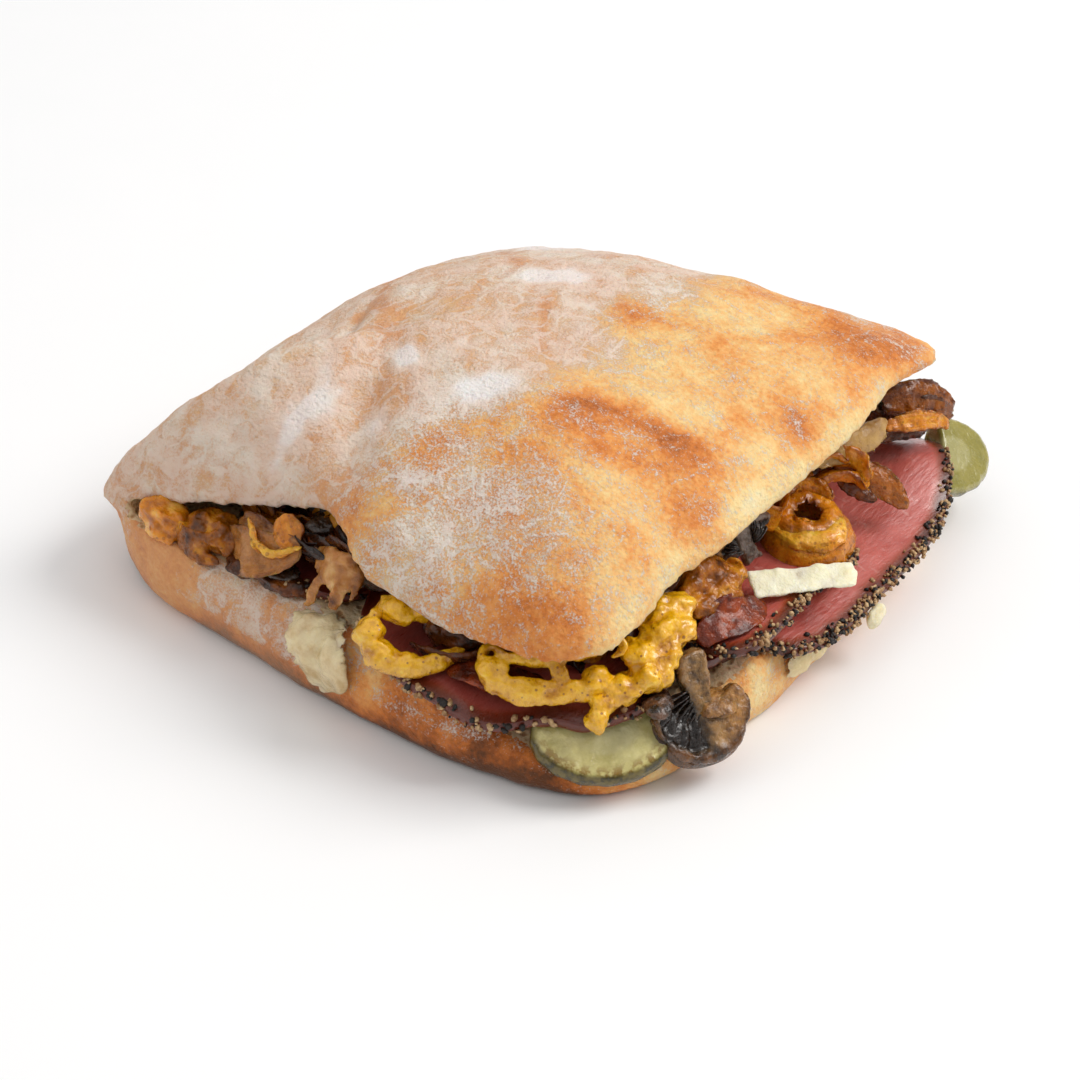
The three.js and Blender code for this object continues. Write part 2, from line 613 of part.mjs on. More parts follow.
// Each entry makes one piece from one or more closed forms that run into each other.
// They are placed in this order, and each is carved clear of the ones before it.
const PIECES = {
  pickle_near: {
    colour: 0xa9a85a,
    roughness: 0.3,
    forms: (grow) => [
      slab({
        shape: oval(16, 11),
        thick: 5.5,
        at: [65, -58, 12.8],
        normal: [0.4, -0.4, 0.82],
        up: [-0.6, 0.6, 0.6],
        curl: 0.004,
        bevel: 1.4,
        segments: 8,
        grow,
      }),
    ],
  },
  pickle_far: {
    colour: 0x6f7030,
    roughness: 0.3,
    forms: (grow) => [
      slab({
        shape: oval(16, 10),
        thick: 5,
        at: [69.5, 70, 17.6],
        normal: [0.68, 0.12, 0.72],
        up: [-0.9, 0.3, 0.6],
        curl: 0.003,
        bevel: 1.2,
        segments: 8,
        grow,
      }),
    ],
  },
  ...Object.fromEntries(
    Object.entries(BEEF_SLICES).map(([name, slice]) => [
      name,
      { colour: 0xb5606a, roughness: 0.45, forms: (grow) => [beefSlice(slice, grow)] },
    ]),
  ),
  mushroom_front: {
    colour: 0x5a4538,
    roughness: 0.3,
    forms: (grow) => [
      slab({
        shape: mushroomProfile(21, 24),
        thick: 4.5,
        at: [72.5, -39.5, 27],
        normal: [0.8, -0.45, 0.45],
        up: [0.4, -0.2, -0.9],
        curl: -0.004,
        segments: 4,
        grow,
      }),
    ],
  },
  cheese_melted_left: {
    colour: 0xf1ecd0,
    roughness: 0.35,
    forms: (grow) => [
      band({
        path: route([-3, -69, 19.6], [-2, -73.5, 19], [1, -76.8, 15.5], [4, -77, 10], [6, -76.6, 7]),
        wide: 17,
        thick: 2.2,
        across: [1, 0, 0],
        ends: 0.6,
        grow,
      }),
    ],
  },
  cheese_melted_right: {
    colour: 0xeedfae,
    roughness: 0.4,
    forms: (grow) => [
      band({
        path: route([81.6, -6, 14.4], [82.3, -6, 11.5], [82, -5, 8]),
        wide: 17,
        thick: 1.8,
        across: [0.1, 1, 0],
        ends: 0.6,
        stations: 7,
        grow,
      }),
    ],
  },
  cheese_scrap_right: {
    colour: 0xf0ead2,
    roughness: 0.5,
    forms: (grow) => [
      lump({ at: [86.5, 14, 11.5], radii: [1.5, 3.4, 3.6], seed: 4, around: 8, up: 5, grow }),
    ],
  },
  cheese_shaving: {
    colour: 0xefe9cd,
    roughness: 0.6,
    forms: (grow) => [
      slab({
        shape: new THREE.Shape(route([-12, -3.4], [11, -2.8], [12.5, 0.5], [11.5, 3.2], [-12.5, 3.2])),
        thick: 2,
        at: [78, -3.5, 27.5],
        normal: [0.35, -0.2, 0.9],
        up: [-0.78, 0.62, 0.3],
        bevel: 0.3,
        grow,
      }),
    ],
  },
  onion_ring_side: {
    colour: 0xb9801f,
    roughness: 0.3,
    forms: (grow) => [
      band({
        path: route(
          [60.5, 12, 30],
          [64, 4.5, 28.6],
          [70, 3, 27],
          [75, 8, 26.4],
          [75, 16, 27],
          [69, 20, 29.5],
        ),
        wide: 9,
        thick: 5.5,
        loop: true,
        stations: 12,
        sides: 8,
        grow,
      }),
    ],
  },
  onion_strand_golden: {
    colour: 0xc48e2c,
    roughness: 0.3,
    forms: (grow) => [
      band({
        path: route([59, 15, 36.5], [60, 24, 36.5], [63, 31, 36], [68, 34, 34], [70, 29.5, 32.5]),
        wide: 6.5,
        thick: 3.4,
        lean: 25,
        grow,
      }),
    ],
  },
  onion_strand_brown: {
    colour: 0x8e5a22,
    roughness: 0.25,
    forms: (grow) => [
      band({
        path: route([66, 36, 29], [71, 36.5, 30.5], [76, 36.5, 29.5], [80.5, 34, 26]),
        wide: 9,
        thick: 2,
        lean: 40,
        ends: 0.5,
        grow,
      }),
    ],
  },
  cheese_under_lid: {
    colour: 0xbcb184,
    roughness: 0.3,
    forms: (grow) => [lump({ at: [65, 40, 37.4], radii: [3, 8.5, 3.6], seed: 7, grow })],
  },
  onion_far: {
    colour: 0x86562c,
    roughness: 0.25,
    forms: (grow) => [
      band({
        path: route([58, 52, 33], [62, 58, 34], [65.5, 65, 32.5], [67.5, 71, 30], [66, 75, 28.5]),
        wide: 9,
        thick: 3.6,
        lean: 35,
        grow,
      }),
      band({
        path: route([63, 50, 29.5], [66.5, 57, 28.8], [69, 64, 27.8], [68, 71, 28]),
        wide: 5,
        thick: 3.2,
        stations: 7,
        grow,
      }),
    ],
  },
  onion_brown_side: {
    colour: 0xa56a20,
    roughness: 0.25,
    forms: (grow) => [
      lump({ at: [63.5, -23, 32], radii: [5, 8.5, 4.4], turn: -10, seed: 2, grow }),
      lump({ at: [67, -17, 30.5], radii: [4, 6.5, 3.8], turn: 20, seed: 5, around: 8, up: 6, grow }),
    ],
  },
  onion_glossy_side: {
    colour: 0x8f4a2a,
    roughness: 0.2,
    forms: (grow) => [lump({ at: [72, -24.5, 27], radii: [4.6, 7.4, 2.8], turn: 12, seed: 3, grow })],
  },
  mushroom_side: {
    colour: 0x6a5a50,
    roughness: 0.3,
    forms: (grow) => [
      slab({
        shape: mushroomProfile(15, 13),
        thick: 3.6,
        at: [66, -6, 29],
        normal: [0.85, -0.35, 0.3],
        up: [-0.35, -0.2, 0.9],
        segments: 3,
        grow,
      }),
    ],
  },
  mustard_glob_front: {
    colour: 0xdc9c0c,
    roughness: 0.3,
    forms: (grow) => [
      band({
        path: route(
          [58, -30, 31.5],
          [64, -35, 30.5],
          [69.5, -40, 27.5],
          [70.5, -46, 25.5],
          [68.5, -53, 24],
        ),
        wide: 8,
        thick: 10,
        ends: 0.6,
        sides: 8,
        grow,
      }),
      band({
        path: route([70, -48, 24.5], [67.5, -54, 24], [65, -59, 22.5], [65, -62.5, 19.5]),
        wide: 5.5,
        thick: 6,
        stations: 6,
        ends: 0.55,
        grow,
      }),
    ],
  },
  mustard_ring_front: {
    colour: 0xd4930f,
    roughness: 0.3,
    forms: (grow) => [
      band({
        path: route(
          [40, -67, 29.6],
          [43, -71.5, 28.6],
          [49, -71, 26],
          [55, -67, 25],
          [59, -62, 25],
          [62, -56, 26.5],
        ),
        wide: 6,
        thick: 3,
        lean: -12,
        stations: 11,
        grow,
      }),
      band({
        path: route([41, -68, 30.2], [47, -66, 30.4], [53, -61, 30.6], [57, -54, 30.8]),
        wide: 3.2,
        thick: 2.6,
        grow,
      }),
    ],
  },
  mustard_hook_left: {
    colour: 0xd4930f,
    roughness: 0.3,
    forms: (grow) => [
      band({
        path: route(
          [12, -68, 32],
          [13, -75, 30],
          [16.5, -79.5, 26.5],
          [22, -78.5, 24.2],
          [28, -74, 23.4],
          [34, -69.5, 24.5],
          [37.5, -64, 27],
        ),
        wide: 6.5,
        thick: 4.4,
        stations: 11,
        sides: 7,
        ends: 0.5,
        grow,
      }),
    ],
  },
  mustard_blob_left: {
    colour: 0xc98a14,
    roughness: 0.35,
    forms: (grow) => [
      lump({ at: [21, -67, 31.3], radii: [5, 3.6, 3], seed: 6, around: 9, up: 6, grow }),
    ],
  },
  onion_brown_front: {
    colour: 0x5e3a22,
    roughness: 0.25,
    forms: (grow) => [lump({ at: [30, -63.5, 29.5], radii: [8, 4.6, 3.8], turn: 10, seed: 8, grow })],
  },
  onion_glossy_front: {
    colour: 0x8c5440,
    roughness: 0.2,
    forms: (grow) => [lump({ at: [44, -66, 23], radii: [10, 4.4, 2.1], turn: 22, seed: 9, grow })],
  },
  mushroom_under_glob: {
    colour: 0x4f3a2e,
    roughness: 0.25,
    forms: (grow) => [
      lump({ at: [73.5, -51, 21.4], radii: [3.6, 5.4, 1.9], turn: 40, seed: 14, around: 8, up: 6, grow }),
    ],
  },
  onion_petal_left: {
    colour: 0xb5803c,
    roughness: 0.35,
    forms: (grow) => [
      band({
        path: route(
          [-33, -63, 27.5],
          [-29, -68, 26.5],
          [-23, -69.5, 26.5],
          [-17, -67.5, 27.5],
          [-13.5, -62, 29],
        ),
        wide: 12,
        thick: 2,
        lean: 22,
        ends: 0.5,
        grow,
      }),
    ],
  },
  onion_shred_left: {
    colour: 0xa77a45,
    roughness: 0.4,
    forms: (grow) => [
      band({
        path: route([-3, -57, 33], [-6, -63, 31.5], [-8.5, -68.5, 27.5], [-9, -72, 23.5]),
        wide: 5,
        thick: 2.6,
        stations: 7,
        grow,
      }),
      band({
        path: route([-5, -60, 32.5], [-4.5, -66, 30], [-3, -70.5, 26.5], [-1.5, -72.5, 23.5]),
        wide: 4.6,
        thick: 2.6,
        stations: 7,
        grow,
      }),
    ],
  },
  onion_ring_back: {
    colour: 0xa06a24,
    roughness: 0.3,
    forms: (grow) => [
      band({
        path: route(
          [22, 60, 31],
          [28, 66, 29.5],
          [36, 68, 29],
          [42, 62, 30],
          [36, 57, 32],
          [28, 56, 32],
        ),
        wide: 7,
        thick: 4,
        loop: true,
        stations: 12,
        grow,
      }),
    ],
  },
  onion_strand_back: {
    colour: 0x9a6226,
    roughness: 0.3,
    forms: (grow) => [
      band({
        path: route([-18, 58, 27.5], [-11, 66, 28.5], [-2, 69, 27.5], [7, 66, 28.5], [12, 59, 30]),
        wide: 8,
        thick: 3,
        lean: 15,
        grow,
      }),
    ],
  },
  mushroom_back: {
    colour: 0x54402f,
    roughness: 0.3,
    forms: (grow) => [
      slab({
        shape: mushroomProfile(17, 15),
        thick: 3.6,
        at: [50, 63.5, 35],
        normal: [0.15, 0.95, 0.3],
        up: [0.3, 0.2, -0.9],
        segments: 3,
        grow,
      }),
    ],
  },
  onion_brown_back: {
    colour: 0x8a5a26,
    roughness: 0.25,
    forms: (grow) => [lump({ at: [-33, 62, 23.6], radii: [8, 4.6, 3.4], seed: 13, grow })],
  },
  mushroom_left: {
    colour: 0x3c2c22,
    roughness: 0.25,
    forms: (grow) => [
      lump({ at: [-19, -67, 23.6], radii: [6.4, 3.4, 1.8], seed: 10, around: 9, up: 6, grow }),
    ],
  },
  onion_brown_left: {
    colour: 0x8a5a26,
    roughness: 0.25,
    forms: (grow) => [lump({ at: [-41, -66, 23.2], radii: [6.6, 4.6, 4.4], seed: 11, grow })],
  },
  onion_orange_left: {
    colour: 0xcf8a34,
    roughness: 0.25,
    forms: (grow) => [lump({ at: [-53.5, -66.5, 21.6], radii: [5.4, 4.2, 4], seed: 12, grow })],
  },
  filling_heap: { colour: 0x6d4526, roughness: 0.35, forms: (grow) => [heap(grow)] },
};

// ---- The sandwich ------------------------------------------------------------------------------

function mesh(name, geometry, { colour, roughness }) {
  const material = new THREE.MeshStandardMaterial({ color: colour, roughness, metalness: 0 });
  const made = new THREE.Mesh(geometry, material);
  made.name = name;
  return made;
}

const laid = new THREE.Group();
const roll = rollSurface();
roll.computeVertexNormals();
laid.add(mesh("ciabatta_roll", roll, { colour: 0xe0b27c, roughness: 0.85 }));

// Each piece in turn is carved clear of the bread and of the pieces already placed.
const placed = [solid(rollSurface(CLEAR / 2))];
for (const [name, piece] of Object.entries(PIECES)) {
  const whole = (grow) => piece.forms(grow).map(solid).reduce((a, b) => a.add(b));
  const body = placed.reduce((rest, other) => rest.subtract(other), whole(0));
  // Carving can leave crumbs: the piece is its largest body.
  const [largest] = body.decompose().sort((a, b) => b.volume() - a.volume());
  laid.add(mesh(name, geometryOf(largest), piece));
  placed.push(whole(CLEAR));
}

const box = new THREE.Box3().setFromObject(laid);
const middle = box.getCenter(new THREE.Vector3());
laid.position.set(-middle.x, -middle.y, -box.min.z);
export default new THREE.Group().add(laid);
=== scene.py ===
"""Roast beef ciabatta sandwich: the looks of its bread, beef, onions, mushrooms, mustard, pickles and cheese.

Lengths are in millimetres about the middle of the bread until a piece is handed to Blender, which
works in metres about the bottom centre of the whole sandwich.
"""

import logging
import math
from dataclasses import dataclass, field, replace
from enum import Enum
from typing import Callable, Iterable, Sequence

import bpy
import numpy as np
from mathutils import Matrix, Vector
from mathutils.bvhtree import BVHTree


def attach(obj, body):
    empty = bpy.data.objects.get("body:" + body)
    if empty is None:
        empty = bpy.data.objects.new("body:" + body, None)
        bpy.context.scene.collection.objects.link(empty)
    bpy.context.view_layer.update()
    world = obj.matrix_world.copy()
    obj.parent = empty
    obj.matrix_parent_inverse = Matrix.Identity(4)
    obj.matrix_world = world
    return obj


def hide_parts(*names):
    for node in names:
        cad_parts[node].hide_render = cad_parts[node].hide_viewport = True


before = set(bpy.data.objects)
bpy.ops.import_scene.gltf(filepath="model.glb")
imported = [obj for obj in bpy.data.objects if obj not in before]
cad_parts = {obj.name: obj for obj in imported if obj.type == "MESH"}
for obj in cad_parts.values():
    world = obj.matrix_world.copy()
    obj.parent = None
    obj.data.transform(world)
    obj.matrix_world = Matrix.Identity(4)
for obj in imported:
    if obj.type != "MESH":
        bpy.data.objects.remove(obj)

LOG = logging.getLogger("sandwich")
Array = np.ndarray
Triple = tuple[float, float, float]

# From the middle of the bread to the bottom centre of the whole sandwich.
SHIFT = np.array([-4.108, -1.814, 0.0])
MM = 0.001


# ---- Small maths ---------------------------------------------------------------------------------


def smooth(value: Array | float, low: float = 0.0, high: float = 1.0) -> Array:
    """Smooth step.

    Args:
        value: What is stepped.
        low: Where the step starts.
        high: Where it ends, below low for a falling step.

    Returns:
        0 before the step, 1 after it.
    """
    t = np.clip((np.asarray(value, float) - low) / (high - low), 0.0, 1.0)
    return t * t * (3 - 2 * t)


def blend(a: Array | float, b: Array | float, share: Array | float) -> Array:
    """Mix of a and b by share of b."""
    return a + (b - a) * share


def unit(v: Array) -> Array:
    """Vectors scaled to length 1 along the last axis."""
    return v / np.maximum(np.linalg.norm(v, axis=-1, keepdims=True), 1e-9)


def colour(code: str) -> tuple[float, float, float, float]:
    """Linear colour of a six-digit hex code.

    Args:
        code: Red, green and blue, two hex digits each.

    Returns:
        Red, green, blue and alpha for a shader socket.
    """
    parts = [int(code[i : i + 2], 16) / 255 for i in (0, 2, 4)]
    linear = [c / 12.92 if c <= 0.04045 else ((c + 0.055) / 1.055) ** 2.4 for c in parts]
    return (linear[0], linear[1], linear[2], 1.0)


class Noise:
    """Smooth lattice noise that is the same on every run."""

    def __init__(self, seed: int) -> None:
        """Fills the lattice.

        Args:
            seed: Which noise of the many.
        """
        rng = np.random.default_rng(seed)
        self.order = np.tile(rng.permutation(256), 2)
        self.slopes = unit(rng.normal(size=(256, 3)))
        self.spots = rng.random((256, 3))

    def _cell(self, corner: Array) -> Array:
        """Number from 0 to 255 of each lattice corner."""
        a = self.order[corner[:, 0] & 255]
        b = self.order[(a + corner[:, 1]) & 255]
        return self.order[(b + corner[:, 2]) & 255]

    def at(self, points: Array, size: float) -> Array:
        """Noise from about -1 to 1.

        Args:
            points: Where, one row each.
            size: Width of a bump.

        Returns:
            One value a point.
        """
        q = points / size
        base = np.floor(q).astype(np.int64)
        f = q - base
        u = f * f * f * (f * (f * 6 - 15) + 10)
        total = np.zeros(len(points))
        for k in range(8):
            step = np.array([k & 1, (k >> 1) & 1, (k >> 2) & 1])
            weight = np.prod(np.where(step, u, 1 - u), axis=1)
            slope = self.slopes[self._cell(base + step)]
            total += weight * np.einsum("ij,ij->i", slope, f - step)
        return total * 1.7

    def layers(self, points: Array, size: float, octaves: int = 4, fade: float = 0.5) -> Array:
        """Sum of noises, each half as wide as the last.

        Args:
            points: Where, one row each.
            size: Width of the widest bumps.
            octaves: How many noises.
            fade: Height of each next noise as a share of the last.

        Returns:
            One value a point, from about -1 to 1.
        """
        total, height, reach = np.zeros(len(points)), 1.0, 0.0
        for k in range(octaves):
            total += height * self.at(points + 17.3 * k, size / 2**k)
            reach += height
            height *= fade
        return total / reach**0.7

    def cells(self, points: Array, size: float) -> tuple[Array, Array]:
        """Distances to the nearest and the second nearest of scattered spots.

        Args:
            points: Where, one row each.
            size: Mean distance between spots.

        Returns:
            The two distances as shares of size.
        """
        q = points / size
        base = np.floor(q).astype(np.int64)
        first = np.full(len(points), 9.0)
        second = np.full(len(points), 9.0)
        for k in range(27):
            step = np.array([k % 3 - 1, (k // 3) % 3 - 1, k // 9 - 1])
            corner = base + step
            d = np.linalg.norm(corner + self.spots[self._cell(corner)] - q, axis=1)
            second = np.minimum(second, np.maximum(first, d))
            first = np.minimum(first, d)
        return first, second


@dataclass(frozen=True)
class Swell:
    """A soft oval rise or patch seen from above."""

    x: float
    y: float
    along: float
    across: float
    turn: float
    lift: float
    flat: float = 1.0

    def at(self, x: Array, y: Array) -> Array:
        """Height over plan points.

        Args:
            x: Plan coordinates.
            y: Plan coordinates.

        Returns:
            One height a point.
        """
        c, s = math.cos(math.radians(self.turn)), math.sin(math.radians(self.turn))
        a = ((x - self.x) * c + (y - self.y) * s) / self.along
        b = ((y - self.y) * c - (x - self.x) * s) / self.across
        return self.lift * np.exp(-((a * a + b * b) ** self.flat))


def swells_at(swells: Iterable[Swell], x: Array, y: Array) -> Array:
    """Sum of swells over plan points."""
    total = np.zeros(np.shape(x))
    for swell in swells:
        total = total + swell.at(x, y)
    return total


@dataclass(frozen=True)
class Outline:
    """A rounded rectangle seen from above, pushed in and out round the compass.

    Each station is a compass angle in degrees, a push outwards, and further values of its owner.
    """

    x: float
    y: float
    half_x: float
    half_y: float
    power: float
    stations: tuple[tuple[float, ...], ...]

    def column(self, degrees: Array, index: int) -> Array:
        """A smooth value through one column of the stations.

        Args:
            degrees: Compass angles.
            index: Which column: 1 is the push.

        Returns:
            One value an angle.
        """
        table = np.array(self.stations, float)
        n = len(table)
        start = table[0, 0]
        turn = np.mod(np.asarray(degrees, float) - start, 360.0) + start
        i = np.searchsorted(table[:, 0], turn, side="right") - 1

        def angle(k: Array) -> Array:
            """Angle of a station counted on round the compass."""
            return table[np.mod(k, n), 0] + 360.0 * np.floor_divide(k, n)

        def value(k: Array) -> Array:
            """Value of a station counted on round the compass."""
            return table[np.mod(k, n), index]

        def slope(k: Array) -> Array:
            """Slope of the smooth value at a station."""
            return (value(k + 1) - value(k - 1)) / (angle(k + 1) - angle(k - 1))

        span = angle(i + 1) - angle(i)
        f = (turn - angle(i)) / span
        rise = value(i + 1) - value(i)
        a = slope(i) * span - rise
        b = rise - slope(i + 1) * span
        return value(i) + f * rise + f * (1 - f) * ((1 - f) * a + f * b)

    def reach(self, degrees: Array) -> Array:
        """Distance from the middle to the rim at compass angles."""
        rad = np.radians(degrees)
        c = np.abs(np.cos(rad)) / self.half_x
        s = np.abs(np.sin(rad)) / self.half_y
        return (c**self.power + s**self.power) ** (-1 / self.power) + self.column(degrees, 1)

    def place(self, x: Array, y: Array) -> tuple[Array, Array, Array]:
        """Compass angle, distance from the middle, and the rim's distance there.

        Args:
            x: Plan coordinates.
            y: Plan coordinates.

        Returns:
            Angle in degrees, distance, rim distance.
        """
        degrees = np.degrees(np.arctan2(y - self.y, x - self.x))
        return degrees, np.hypot(x - self.x, y - self.y), self.reach(degrees)


# ---- Meshes --------------------------------------------------------------------------------------


@dataclass
class Form:
    """A mesh being made: points, faces of four corners or of three with -1 last, and marks.

    Marks are values that vary over the points, read by the finishes.
    """

    points: Array
    faces: Array
    marks: dict[str, Array] = field(default_factory=dict)

    @staticmethod
    def join(forms: Sequence["Form"]) -> "Form":
        """One form of several, with every mark that any of them has.

        Args:
            forms: The forms, not changed.

        Returns:
            The joined form.
        """
        names = sorted({name for form in forms for name in form.marks})
        faces, count = [], 0
        for form in forms:
            faces.append(np.where(form.faces >= 0, form.faces + count, -1))
            count += len(form.points)
        marks = {
            name: np.concatenate([form.marks.get(name, np.zeros(len(form.points))) for form in forms])
            for name in names
        }
        return Form(np.concatenate([f.points for f in forms]), np.concatenate(faces), marks)

    def corners(self) -> Array:
        """Faces as triangles."""
        quads = self.faces[self.faces[:, 3] >= 0]
        return np.concatenate([self.faces[:, :3], quads[:, [0, 2, 3]]])

    def normals(self) -> Array:
        """Outward direction at each point."""
        tri = self.corners()
        a, b, c = (self.points[tri[:, k]] for k in range(3))
        flat = np.cross(b - a, c - a)
        total = np.zeros_like(self.points)
        for k in range(3):
            for axis in range(3):
                total[:, axis] += np.bincount(tri[:, k], flat[:, axis], len(self.points))
        return unit(total)

    def push(self, amount: Array | float) -> "Form":
        """Moves each point outwards.

        Args:
            amount: How far, one value or one a point.

        Returns:
            This form.
        """
        self.points = self.points + self.normals() * np.reshape(amount, (-1, 1))
        return self

    def edges(self) -> Array:
        """Each side of each face as two point numbers."""
        quads = self.faces[self.faces[:, 3] >= 0]
        tris = self.faces[self.faces[:, 3] < 0][:, :3]
        sides = [quads[:, [k, (k + 1) % 4]] for k in range(4)]
        sides += [tris[:, [k, (k + 1) % 3]] for k in range(3)]
        return np.unique(np.sort(np.concatenate(sides), axis=1), axis=0)

    def relax(self, times: int, share: Array | float = 0.5) -> "Form":
        """Draws each point towards the middle of its neighbours.

        Args:
            times: How often.
            share: How far each time, one value or one a point.

        Returns:
            This form.
        """
        edges = self.edges()
        a = np.concatenate([edges[:, 0], edges[:, 1]])
        b = np.concatenate([edges[:, 1], edges[:, 0]])
        count = np.maximum(np.bincount(a, minlength=len(self.points)), 1)[:, None]
        pull = np.reshape(share, (-1, 1))
        for _ in range(times):
            total = np.stack([np.bincount(a, self.points[b, k], len(self.points)) for k in range(3)], axis=1)
            self.points = self.points + pull * (total / count - self.points)
        return self

    def spread(self, values: Array, times: int) -> Array:
        """Values over the points, evened out between neighbours.

        Args:
            values: One value a point.
            times: How often.

        Returns:
            The softer values.
        """
        edges = self.edges()
        a = np.concatenate([edges[:, 0], edges[:, 1]])
        b = np.concatenate([edges[:, 1], edges[:, 0]])
        count = np.maximum(np.bincount(a, minlength=len(self.points)), 1)
        for _ in range(times):
            values = (values + np.bincount(a, values[b], len(self.points)) / count) / 2
        return values

    def mesh(self, name: str) -> bpy.types.Mesh:
        """The form as a Blender mesh in metres in the sandwich's frame.

        Args:
            name: The mesh's name.

        Returns:
            The mesh, smooth shaded, with its marks as attributes.
        """
        made = bpy.data.meshes.new(name)
        sizes = np.where(self.faces[:, 3] >= 0, 4, 3)
        corners = self.faces.reshape(-1)
        corners = corners[corners >= 0]
        made.vertices.add(len(self.points))
        made.vertices.foreach_set("co", ((self.points + SHIFT) * MM).astype(np.float32).ravel())
        made.loops.add(len(corners))
        made.loops.foreach_set("vertex_index", corners.astype(np.int32))
        made.polygons.add(len(sizes))
        starts = np.concatenate([[0], np.cumsum(sizes)[:-1]])
        made.polygons.foreach_set("loop_start", starts.astype(np.int32))
        made.update(calc_edges=True)
        made.validate()
        made.polygons.foreach_set("use_smooth", np.ones(len(made.polygons), bool))
        for mark, values in self.marks.items():
            layer = made.attributes.new(mark, "FLOAT", "POINT")
            layer.data.foreach_set("value", np.asarray(values, np.float32))
        return made


def from_blender(source: bpy.types.Object) -> Form:
    """A form of an object's mesh with its modifiers, in millimetres about the bread's middle.

    Args:
        source: The object, at the origin.

    Returns:
        The form.
    """
    graph = bpy.context.evaluated_depsgraph_get()
    shown = source.evaluated_get(graph)
    mesh = shown.to_mesh()
    points = np.zeros(len(mesh.vertices) * 3, np.float32)
    mesh.vertices.foreach_get("co", points)
    count = len(mesh.polygons)
    starts, sizes = np.zeros(count, np.int32), np.zeros(count, np.int32)
    corners = np.zeros(len(mesh.loops), np.int32)
    mesh.polygons.foreach_get("loop_start", starts)
    mesh.polygons.foreach_get("loop_total", sizes)
    mesh.loops.foreach_get("vertex_index", corners)
    at = np.minimum(starts[:, None] + np.arange(4), len(corners) - 1)
    faces = np.where(np.arange(4) < sizes[:, None], corners[at], -1).astype(np.int64)
    shown.to_mesh_clear()
    return Form(points.reshape(-1, 3).astype(float) / MM - SHIFT, faces)


def remesh(form: Form, voxel: float, soften: int = 0) -> Form:
    """An even mesh over the outside of a form whose closed parts may run into each other.

    Args:
        form: One or more closed surfaces.
        voxel: Side of a new face.
        soften: How many rounds of relaxing follow.

    Returns:
        The new form, of quads, with no marks.
    """
    holder = bpy.data.objects.new("mould", form.mesh("mould"))
    bpy.context.scene.collection.objects.link(holder)
    tool = holder.modifiers.new("even", "REMESH")
    tool.mode = "VOXEL"
    tool.voxel_size = voxel * MM
    tool.adaptivity = 0.0
    made = from_blender(holder)
    mesh = holder.data
    bpy.data.objects.remove(holder)
    bpy.data.meshes.remove(mesh)
    return made.relax(soften, 0.5) if soften else made


def solid_of(node: str) -> Form:
    """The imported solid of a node, its split corners joined again.

    Args:
        node: The node's name.

    Returns:
        A closed form.
    """
    form = from_blender(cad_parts[node])
    keys, index = np.unique(np.round(form.points, 4), axis=0, return_inverse=True)
    faces = np.where(form.faces >= 0, index.reshape(-1)[np.maximum(form.faces, 0)], -1)
    whole = np.array([len(set(face[face >= 0])) >= 3 for face in faces])
    return Form(keys, faces[whole])


# ---- Finishes ------------------------------------------------------------------------------------


